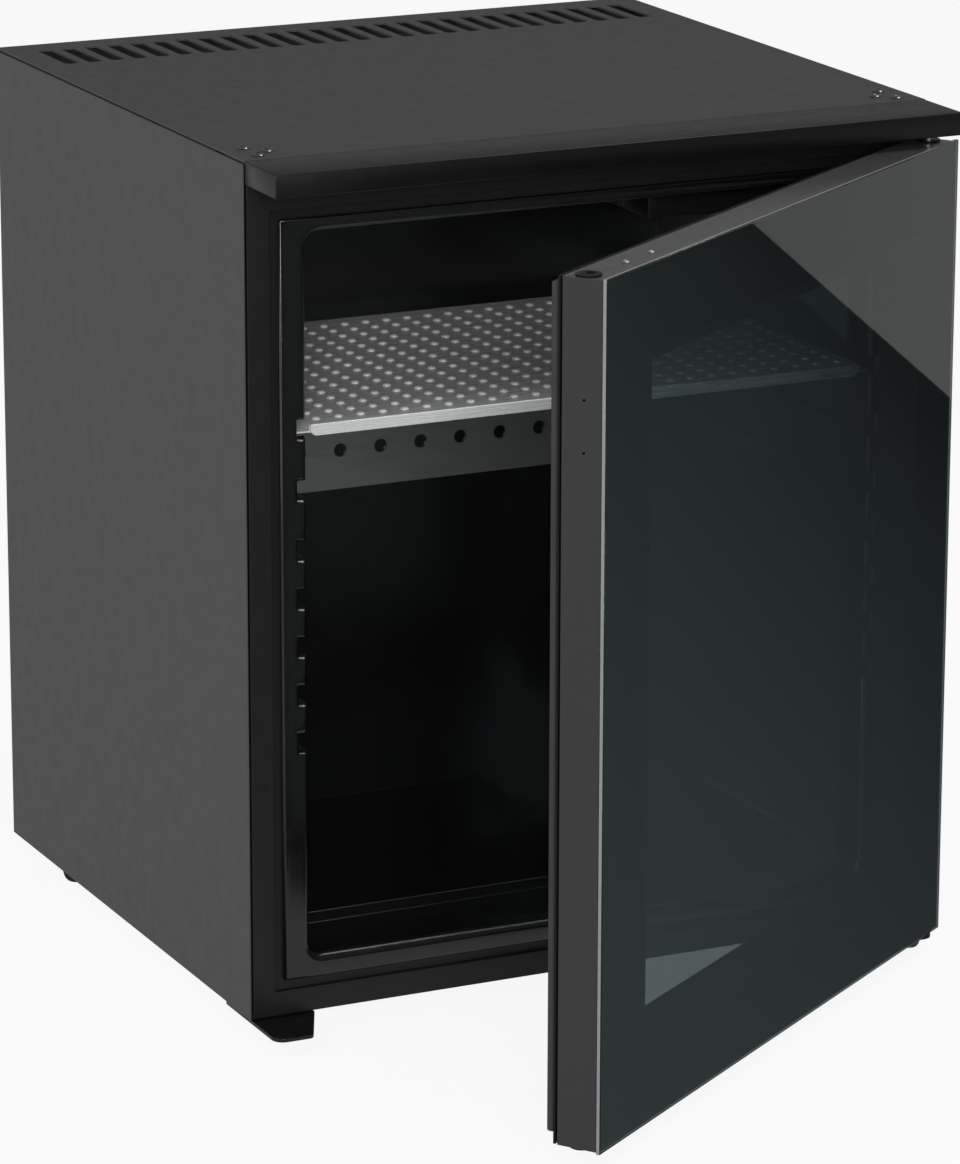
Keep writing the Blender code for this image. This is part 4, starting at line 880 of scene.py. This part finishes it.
tubeLook = {"sides": 20, "bend": 0.0180, "steps": 10}
unitLook = {
    "coilHalfSpan": 0.0850,
    "coilFirstRise": 0.0340,  # first pass above the vessel
    "coilExitStep": 0.0600,  # last pass below the exit
    "coilPasses": 6,
    "coilRadius": 0.0070,
    "feedRadius": 0.0060,
    "riserRadius": 0.0080,
    "spoutRadius": 0.0050,
    "spoutBend": 0.0090,
}


def routeWithBends(corners, radius=tubeLook["bend"]):
    corners = [Vector(c) for c in corners]
    route = [corners[0]]
    for before, corner, after in zip(corners, corners[1:], corners[2:]):
        first = corner + (before - corner).normalized() * radius
        last = corner + (after - corner).normalized() * radius
        centre = first + last - corner
        for i in range(tubeLook["steps"] + 1):
            part = math.pi / 2 * i / tubeLook["steps"]
            route.append(centre + (first - centre) * math.cos(part) + (last - centre) * math.sin(part))
    return route + [corners[-1]]


# The edges that join a ring's own vertices, in a fixed order
def ringEdges(ring):
    inside = set(ring)
    found = []
    for vert in ring:
        found += [e for e in vert.link_edges if e.other_vert(vert) in inside and e not in found]
    return found


# A round tube: a circle at each point, square to the route, bridged to the next one
def tubeAlong(node, route, radius):
    bm = bmesh.new()
    rings = []
    side = None
    for i, point in enumerate(route):
        before = route[max(i - 1, 0)]
        after = route[min(i + 1, len(route) - 1)]
        ahead = (after - before).normalized()
        if side is None:
            side = ahead.orthogonal().normalized()
        side = (side - ahead * side.dot(ahead)).normalized()
        across = ahead.cross(side)
        turn = Matrix((side, across, ahead)).transposed().to_4x4()
        made = bmesh.ops.create_circle(
            bm,
            cap_ends=i in (0, len(route) - 1),
            segments=tubeLook["sides"],
            radius=radius,
            matrix=Matrix.Translation(point) @ turn,
        )["verts"]
        rings.append(made)
    for ring, following in zip(rings, rings[1:]):
        bmesh.ops.bridge_loops(bm, edges=ringEdges(ring) + ringEdges(following))
    bmesh.ops.recalc_face_normals(bm, faces=bm.faces)
    piece = pieceFor(bm, node, meshRules["smoothCrease"])
    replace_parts(piece, node)


def boxCentre(node):
    low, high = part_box(node)
    return (low + high) / 2


# Up from the boiler and over to the condenser
def drawRiser(unitY):
    boiler, boilerTop = boxCentre("boiler_cover"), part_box("boiler_cover")[1].z
    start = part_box("condenser")[0].x
    z = boxCentre("condenser").z
    corners = [(boiler.x, unitY, boilerTop), (boiler.x, unitY, z), (start, unitY, z)]
    tubeAlong("riser_tube", routeWithBends(corners), unitLook["riserRadius"])


# From the condenser down the side, across and into the foam
def drawFeed(unitY):
    low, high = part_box("feed_tube")
    radius = unitLook["feedRadius"]
    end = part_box("condenser")[1].x
    z = boxCentre("condenser").z
    lowZ = low.z + radius
    corners = [
        (end, unitY, z),
        (high.x - radius, unitY, z),
        (high.x - radius, unitY, lowZ),
        (low.x + radius, unitY, lowZ),
        (low.x + radius, low.y, lowZ),
    ]
    tubeAlong("feed_tube", routeWithBends(corners), radius)


def drawSpout():
    low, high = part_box("drain_spout")
    radius = unitLook["spoutRadius"]
    x = (low.x + high.x) / 2
    corners = [
        (x, low.y, high.z - radius),
        (x, high.y - radius, high.z - radius),
        (x, high.y - radius, low.z),
    ]
    tubeAlong("drain_spout", routeWithBends(corners, unitLook["spoutBend"]), radius)


# The serpentine: up from the vessel, to and fro in level passes, up and forward into the foam
def coilRoute(unitY):
    low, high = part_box("absorber_coil")
    span = unitLook["coilHalfSpan"]
    middle = (low.x + high.x) / 2
    exitZ = high.z - unitLook["coilRadius"]
    steps = tubeLook["steps"]
    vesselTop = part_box("absorber_vessel")[1].z
    first = vesselTop + unitLook["coilFirstRise"]
    last = exitZ - unitLook["coilExitStep"]
    pitch = (last - first) / (unitLook["coilPasses"] - 1)
    route = routeWithBends(
        [(middle + span, unitY, vesselTop), (middle + span, unitY, first), (middle - span, unitY, first)]
    )
    for i in range(unitLook["coilPasses"] - 1):
        side = -1 if i % 2 == 0 else 1
        for k in range(0 if i else 1, 2 * steps + 1):
            angle = math.pi * k / (2 * steps)
            x = middle + side * (span + pitch / 2 * math.sin(angle))
            z = first + i * pitch + pitch / 2 * (1 - math.cos(angle))
            route.append(Vector((x, unitY, z)))
    tail = [
        route[-1],
        (middle + span, unitY, last),
        (middle + span, unitY, exitZ),
        (middle + span, low.y, exitZ),
    ]
    return route[:-1] + routeWithBends(tail)


def drawTubes():
    unitY = boxCentre("boiler_cover").y
    drawRiser(unitY)
    drawFeed(unitY)
    drawSpout()
    tubeAlong("absorber_coil", coilRoute(unitY), unitLook["coilRadius"])


drawTubes()
print("tubes drawn")


# Screws with a cross recess

screwLook = {
    "headHeight": 0.35,  # of the radius
    "head": ((0.0, 1.0), (0.45, 0.97), (0.72, 0.80), (0.92, 0.45), (1.0, 0.10), (0.97, 0.0)),
    "doorShank": 0.0012,
    "shank": 0.0018,
    "steps": 32,
    "recessWidth": 0.22,
    "recessLength": 1.15,
    "recessDepth": 0.55,
    "recessStep": 0.1,  # one slot of the cross is cut deeper by this share of the head
    "cutterRise": (2, 3),  # heads above the seat where the two slots' cutters end
    "turnPerLetter": 17,  # degrees, so that the recesses don't all point one way
}


# Pan head with a cross recess, and its plain shank
def screwHead(node, headUp, shank):
    low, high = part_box(node)
    centre = (low + high) / 2
    radius = (high.x - low.x) / 2
    flip = Matrix.Rotation(0 if headUp else math.pi, 4, "X")
    headHeight = radius * screwLook["headHeight"]
    tall = high.z - low.z
    seat = tall / 2 - headHeight
    profile = [(radius * across, seat + headHeight * up) for across, up in screwLook["head"]]
    profile += [(shank, seat), (shank, -tall / 2), (0.0, -tall / 2)]
    bm = bmesh.new()
    spunProfile(bm, profile, screwLook["steps"])
    placed(bm, flip, centre)
    piece = pieceFor(bm, node)
    cutter = bmesh.new()
    half = radius * screwLook["recessLength"] / 2
    width = radius * screwLook["recessWidth"] / 2
    bottom = seat + headHeight * (1 - screwLook["recessDepth"])
    deeper = bottom - headHeight * screwLook["recessStep"]
    firstTop, secondTop = (seat + heads * headHeight for heads in screwLook["cutterRise"])
    boxInto(cutter, (-half, -width, bottom), (half, width, firstTop))
    boxInto(cutter, (-width, -half, deeper), (width, half, secondTop))
    turn = Matrix.Rotation(math.radians(len(piece.name) * screwLook["turnPerLetter"]), 4, "Z")
    placed(cutter, flip @ turn, centre)
    cutInto(piece, cutter)
    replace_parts(piece, node)
    return piece


# Cuts a shape out of a piece and keeps the result as its mesh
def cutInto(piece, cutterMesh):
    mesh = bpy.data.meshes.new("cutter")
    cutterMesh.to_mesh(mesh)
    cutterMesh.free()
    cutter = bpy.data.objects.new("cutter", mesh)
    bpy.context.scene.collection.objects.link(cutter)
    made = piece.modifiers.new("cut", "BOOLEAN")
    made.operation = "DIFFERENCE"
    made.object = cutter
    made.use_self = True
    graph = bpy.context.evaluated_depsgraph_get()
    result = bpy.data.meshes.new_from_object(piece.evaluated_get(graph))
    piece.modifiers.remove(made)
    piece.data = result
    result.set_sharp_from_angle(angle=math.radians(meshRules["crease"]))
    bpy.data.objects.remove(cutter)


def dressScrews():
    for node in sorted(nodes):
        if "screw" not in node:
            continue
        shank = screwLook["doorShank"] if node.startswith("door") else screwLook["shank"]
        piece = screwHead(node, not node.startswith("plate"), shank)
        if node.startswith("top"):
            piece.data.materials[0] = screwSteel


dressScrews()
print("screws cut")


# Feet: turned rubber with a ring round the sole

footLook = {
    "collar": 0.97,  # of the radius and of the height, where the upper edge is broken
    "straight": 0.80,  # of the height, where the dome begins
    "sole": 0.5,  # of the radius
    "domeSteps": 10,
    "ringOuter": 0.34,
    "ringInner": 0.30,
    "ringDepth": 0.0008,
}


def dressFeet():
    collar, straight, sole = footLook["collar"], footLook["straight"], footLook["sole"]
    depth = footLook["ringDepth"]
    for node in sorted(nodes):
        if not node.endswith("_foot"):
            continue
        low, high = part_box(node)
        radius = (high.x - low.x) / 2
        tall = high.z - low.z
        profile = [(0.0, tall), (radius * collar, tall), (radius, tall * collar), (radius, tall * straight)]
        for i in range(1, footLook["domeSteps"] + 1):
            angle = math.pi / 2 * i / footLook["domeSteps"]
            reach = radius * (sole + (1 - sole) * math.cos(angle))
            profile.append((reach, tall * straight * (1 - math.sin(angle))))
        profile.append((radius * footLook["ringOuter"], 0.0))
        profile += [(radius * footLook["ringInner"], depth), (0.0, depth)]
        bm = bmesh.new()
        spunProfile(bm, profile)
        placed(bm, Matrix.Identity(4), ((low.x + high.x) / 2, (low.y + high.y) / 2, low.z))
        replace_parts(pieceFor(bm, node, meshRules["smoothCrease"]), node)


dressFeet()
print("feet turned")


# Absorber vessel: domed ends and a weld bead at each

vesselLook = {
    "dome": 0.0110,
    "domeSteps": 8,
    "bead": 0.0012,
    "beadWidth": 0.0035,
    "beadFlat": (0.3, 0.7),  # shares of the width between which the bead is level
    "sides": 56,
}


def dressVessel():
    low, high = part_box("absorber_vessel")
    centre = (low + high) / 2
    radius = (high.z - low.z) / 2
    half = (high.x - low.x) / 2
    dome, bead, beadWidth = vesselLook["dome"], vesselLook["bead"], vesselLook["beadWidth"]
    seam = half - dome
    upper = []
    for i in range(vesselLook["domeSteps"] + 1):
        angle = math.pi / 2 * i / vesselLook["domeSteps"]
        upper.append(((radius - bead) * math.sin(angle), seam + dome * math.cos(angle)))
    upper += [(radius, seam - beadWidth * share) for share in vesselLook["beadFlat"]]
    upper.append((radius - bead, seam - beadWidth))
    profile = upper + [(r, -h) for r, h in reversed(upper)]
    bm = bmesh.new()
    spunProfile(bm, profile, vesselLook["sides"])
    placed(bm, Matrix.Rotation(math.pi / 2, 4, "Y"), centre)
    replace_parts(pieceFor(bm, "absorber_vessel", meshRules["smoothCrease"]), "absorber_vessel")


dressVessel()
print("vessel welded")


# Thermostat knob: fluted grip, pointer rib and stem

knobLook = {
    "stemRadius": 0.0030,
    "gripHeight": 0.0070,
    "rimHeight": 0.0012,
    "neckDrop": 0.0020,
    "neck": 0.88,  # this and the next two are shares of the radius
    "grip": 0.84,
    "face": 0.78,
    "faceEdge": 0.0006,
    "ribHeight": 0.0012,
    "ribSeat": 0.0005,
    "ribHalfWidth": 0.0011,
    "ribReach": 0.76,
    "flutes": 18,
    "fluteRadius": 0.0011,
    "fluteSides": 10,
    "fluteLength": 0.0044,
    "fluteReach": 0.83,
    "fluteRise": 0.0030,
}


def dressKnob():
    low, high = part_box("thermostat_knob")
    centre = (low + high) / 2
    radius = (high.x - low.x) / 2
    bottom = low.z + knobLook["ribHeight"]
    skirt = bottom + knobLook["gripHeight"]
    stem = knobLook["stemRadius"]
    profile = [
        (0.0, high.z),
        (stem, high.z),
        (stem, skirt),
        (radius, skirt),
        (radius, skirt - knobLook["rimHeight"]),
        (radius * knobLook["neck"], skirt - knobLook["neckDrop"]),
        (radius * knobLook["grip"], bottom + knobLook["faceEdge"]),
        (radius * knobLook["face"], bottom),
        (0.0, bottom),
    ]
    bm = bmesh.new()
    spunProfile(bm, profile)
    rib, reach = knobLook["ribHalfWidth"], radius * knobLook["ribReach"]
    boxInto(bm, (-rib, -reach, low.z), (rib, reach, bottom + knobLook["ribSeat"]))
    fluteReach = radius * knobLook["fluteReach"]
    for i in range(knobLook["flutes"]):
        angle = math.tau * i / knobLook["flutes"]
        made = bmesh.ops.create_cone(
            bm,
            cap_ends=True,
            segments=knobLook["fluteSides"],
            radius1=knobLook["fluteRadius"],
            radius2=knobLook["fluteRadius"],
            depth=knobLook["fluteLength"],
        )["verts"]
        height = bottom + knobLook["fluteRise"]
        spot = (fluteReach * math.cos(angle), fluteReach * math.sin(angle), height)
        bmesh.ops.translate(bm, vec=spot, verts=made)
    placed(bm, Matrix.Identity(4), (centre.x, centre.y, 0))
    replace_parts(pieceFor(bm, "thermostat_knob"), "thermostat_knob")


dressKnob()
print("knob fluted")


# Power inlet: three pins in its socket

pinLook = {
    "start": 0.0030,  # behind the socket's floor
    "length": 0.0080,
    "width": 0.0040,
    "thickness": 0.0016,
    "spread": 0.0070,
    "rise": 0.0030,
    "rounding": 0.0003,
}


def dressInlet():
    low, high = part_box("power_inlet")
    centre = (low + high) / 2
    start = low.y + pinLook["start"]
    halfThickness = pinLook["thickness"] / 2
    halfWidth = pinLook["width"] / 2
    bm = bmesh.new()
    for across, up in ((-1, -1), (0, 1), (1, -1)):
        x = centre.x + across * pinLook["spread"]
        z = centre.z + up * pinLook["rise"]
        boxInto(
            bm,
            (x - halfThickness, start, z - halfWidth),
            (x + halfThickness, start + pinLook["length"], z + halfWidth),
        )
    rounded(pieceFrom(bm, "inlet_pins", "bright_steel", "cabinet"), pinLook["rounding"])


dressInlet()
print("inlet pins set")


# Studio: pale floor, white surroundings, soft lamps and a grey card that only reflections see

studio = {
    "floorSize": 40.0,
    "floorColour": (0.90, 0.90, 0.90),
    "floorGlow": 0.90,  # share of plain white in the floor that the camera sees
    "floorReflected": 0.46,
    "skyFill": 0.34,
    "skyReflected": 0.20,
    # Floor and surroundings seen through glass are dimmed: painted shade of the cabinet's shadow on the floor
    "shadedThroughGlass": 0.36,
    "white": 1.0,
}

lamps = {
    "leftLamp": {"place": (-3.0, -0.1, 1.6), "aim": (0, 0, 0.30), "size": (2.2, 2.2), "power": 32},
    "topLamp": {"place": (1.3, -0.9, 2.9), "aim": (0, 0, 0.2), "size": (1.2, 1.2), "power": 22},
    "frontLamp": {"place": (-1.6, -4.0, 1.6), "aim": (0, 0, 0.3), "size": (1.6, 1.6), "power": 110},
}

# The door's glass mirrors pale floor only above this line of the photo, and a grey card below it
cardLook = {
    "edge": ((754.0, 224.0), (952.5, 399.6)),
    "height": 0.004,
    "tint": (0.85, 1.05, 1.08),
    "front": -0.35,  # Y of the brighter side, and of the darker one
    "back": 0.15,
    "frontGrey": 0.235,
    "backGrey": 0.051,
    "near": -0.48,  # Y of the card's front edge
    "beyond": 0.6,  # the edge goes on by this share of its length
    "slack": 0.001,  # corners within this of the glass's face are on it
}


# One value for light that falls on things, one for reflections, one through glass, one for the camera
def byRay(tree, falling, reflected, through, seen):
    path = tree.nodes.new("ShaderNodeLightPath")
    chosen = None
    rows = (("Is Glossy Ray", reflected), ("Is Transmission Ray", through), ("Is Camera Ray", seen))
    for kind, value in rows:
        mix = tree.nodes.new("ShaderNodeMix")
        mix.inputs["A"].default_value = falling
        mix.inputs["B"].default_value = value
        tree.links.new(path.outputs[kind], mix.inputs["Factor"])
        if chosen:
            tree.links.new(chosen, mix.inputs["A"])
        chosen = mix.outputs["Result"]
    return chosen


def makeWorld():
    world = bpy.data.worlds.new("studio")
    bpy.context.scene.world = world
    world.use_nodes = True
    tree = world.node_tree
    background = tree.nodes["Background"]
    background.inputs["Color"].default_value = (1, 1, 1, 1)
    strength = byRay(
        tree, studio["skyFill"], studio["skyReflected"], studio["shadedThroughGlass"], studio["white"]
    )
    tree.links.new(strength, background.inputs["Strength"])


def stageSheet(name, corners, material):
    bm = bmesh.new()
    bm.faces.new([bm.verts.new(corner) for corner in corners])
    mesh = bpy.data.meshes.new(name)
    bm.to_mesh(mesh)
    bm.free()
    sheet = bpy.data.objects.new(name, mesh)
    bpy.context.scene.collection.objects.link(sheet)
    mesh.materials.append(material)
    return sheet


def floorMaterial():
    material = bpy.data.materials.new("pale_floor")
    material.use_nodes = True
    tree = material.node_tree
    tree.nodes.remove(tree.nodes["Principled BSDF"])
    diffuse = tree.nodes.new("ShaderNodeBsdfDiffuse")
    diffuse.inputs["Color"].default_value = (*studio["floorColour"], 1)
    glow = tree.nodes.new("ShaderNodeEmission")
    glow.inputs["Color"].default_value = (1, 1, 1, 1)
    mix = tree.nodes.new("ShaderNodeMixShader")
    strength = byRay(tree, 0.0, studio["floorReflected"], studio["shadedThroughGlass"], studio["white"])
    tree.links.new(strength, glow.inputs["Strength"])
    tree.links.new(byRay(tree, 0.0, 1.0, 1.0, studio["floorGlow"]), mix.inputs["Fac"])
    tree.links.new(diffuse.outputs[0], mix.inputs[1])
    tree.links.new(glow.outputs[0], mix.inputs[2])
    tree.links.new(mix.outputs[0], tree.nodes["Material Output"].inputs["Surface"])
    return material


def makeFloor():
    half = studio["floorSize"] / 2
    corners = [(-half, -half, 0), (half, -half, 0), (half, half, 0), (-half, half, 0)]
    stageSheet("floor", corners, floorMaterial())


def makeLamps():
    for name, look in lamps.items():
        data = bpy.data.lights.new(name, "AREA")
        data.shape = "RECTANGLE"
        data.size, data.size_y = look["size"]
        data.energy = look["power"]
        lamp = bpy.data.objects.new(name, data)
        bpy.context.scene.collection.objects.link(lamp)
        place = Vector(look["place"])
        lamp.location = place
        lamp.rotation_mode = "QUATERNION"
        lamp.rotation_quaternion = (Vector(look["aim"]) - place).to_track_quat("-Z", "Y")


# Grey to a ray that has been reflected, clear to one that comes straight through a pane
def cardMaterial():
    material = bpy.data.materials.new("grey_card")
    material.use_nodes = True
    tree = material.node_tree
    tree.nodes.remove(tree.nodes["Principled BSDF"])
    glow = tree.nodes.new("ShaderNodeEmission")
    glow.inputs["Color"].default_value = (*cardLook["tint"], 1)
    place = tree.nodes.new("ShaderNodeSeparateXYZ")
    grey = tree.nodes.new("ShaderNodeMapRange")
    grey.inputs["From Min"].default_value = cardLook["front"]
    grey.inputs["From Max"].default_value = cardLook["back"]
    grey.inputs["To Min"].default_value = cardLook["frontGrey"]
    grey.inputs["To Max"].default_value = cardLook["backGrey"]
    tree.links.new(tree.nodes.new("ShaderNodeTexCoord").outputs["Object"], place.inputs[0])
    tree.links.new(place.outputs["Y"], grey.inputs["Value"])
    tree.links.new(grey.outputs["Result"], glow.inputs["Strength"])
    clear = tree.nodes.new("ShaderNodeBsdfTransparent")
    path = tree.nodes.new("ShaderNodeLightPath")
    mix = tree.nodes.new("ShaderNodeMixShader")
    tree.links.new(path.outputs["Glossy Depth"], mix.inputs["Fac"])
    tree.links.new(clear.outputs[0], mix.inputs[1])
    tree.links.new(glow.outputs[0], mix.inputs[2])
    tree.links.new(mix.outputs[0], tree.nodes["Material Output"].inputs["Surface"])
    return material


# Corners of the outer pane, and how far out its face lies along the door's normal
def glassFace():
    outward = doorNormal()
    corners = [Vector(v.co) for v in nodes["outer_glass"].data.vertices]
    return corners, max(corner.dot(outward) for corner in corners)


# Where a line of sight meets the card's level after the door's glass has turned it
def mirroredOnFloor(pixel, height):
    normal = doorNormal()
    place = Vector(view["place"])
    ray = rayThrough(pixel)
    hit = place + ray * ((glassFace()[1] - place.dot(normal)) / ray.dot(normal))
    turned = ray - normal * (2 * ray.dot(normal))
    return hit + turned * ((height - hit.z) / turned.z)


# The two ends of the glass face's line on the floor, at the free side and at the hinge
def doorFoot():
    outward = doorNormal()
    corners, face = glassFace()
    front = [corner for corner in corners if corner.dot(outward) > face - cardLook["slack"]]
    free = min(front, key=lambda corner: corner.x)
    hinged = max(front, key=lambda corner: corner.x)
    return [Vector((corner.x, corner.y, cardLook["height"])) for corner in (free, hinged)]


def makeCard():
    height = cardLook["height"]
    near, far = (mirroredOnFloor(pixel, height) for pixel in reversed(cardLook["edge"]))
    along = far - near
    beside = near - along * ((near.x - cadHigh.x) / along.x)  # the edge's line, carried to the cabinet's side
    beyond = far + along * cardLook["beyond"]
    free, hinged = doorFoot()
    front = [(x, cardLook["near"], height) for x in (free.x, beyond.x)]
    card = stageSheet("door_card", [beyond, beside, hinged, free, *front], cardMaterial())
    card.visible_camera = False
    card.visible_diffuse = False
    card.visible_shadow = False


makeWorld()
makeFloor()
makeLamps()
makeCard()
print("studio lit")
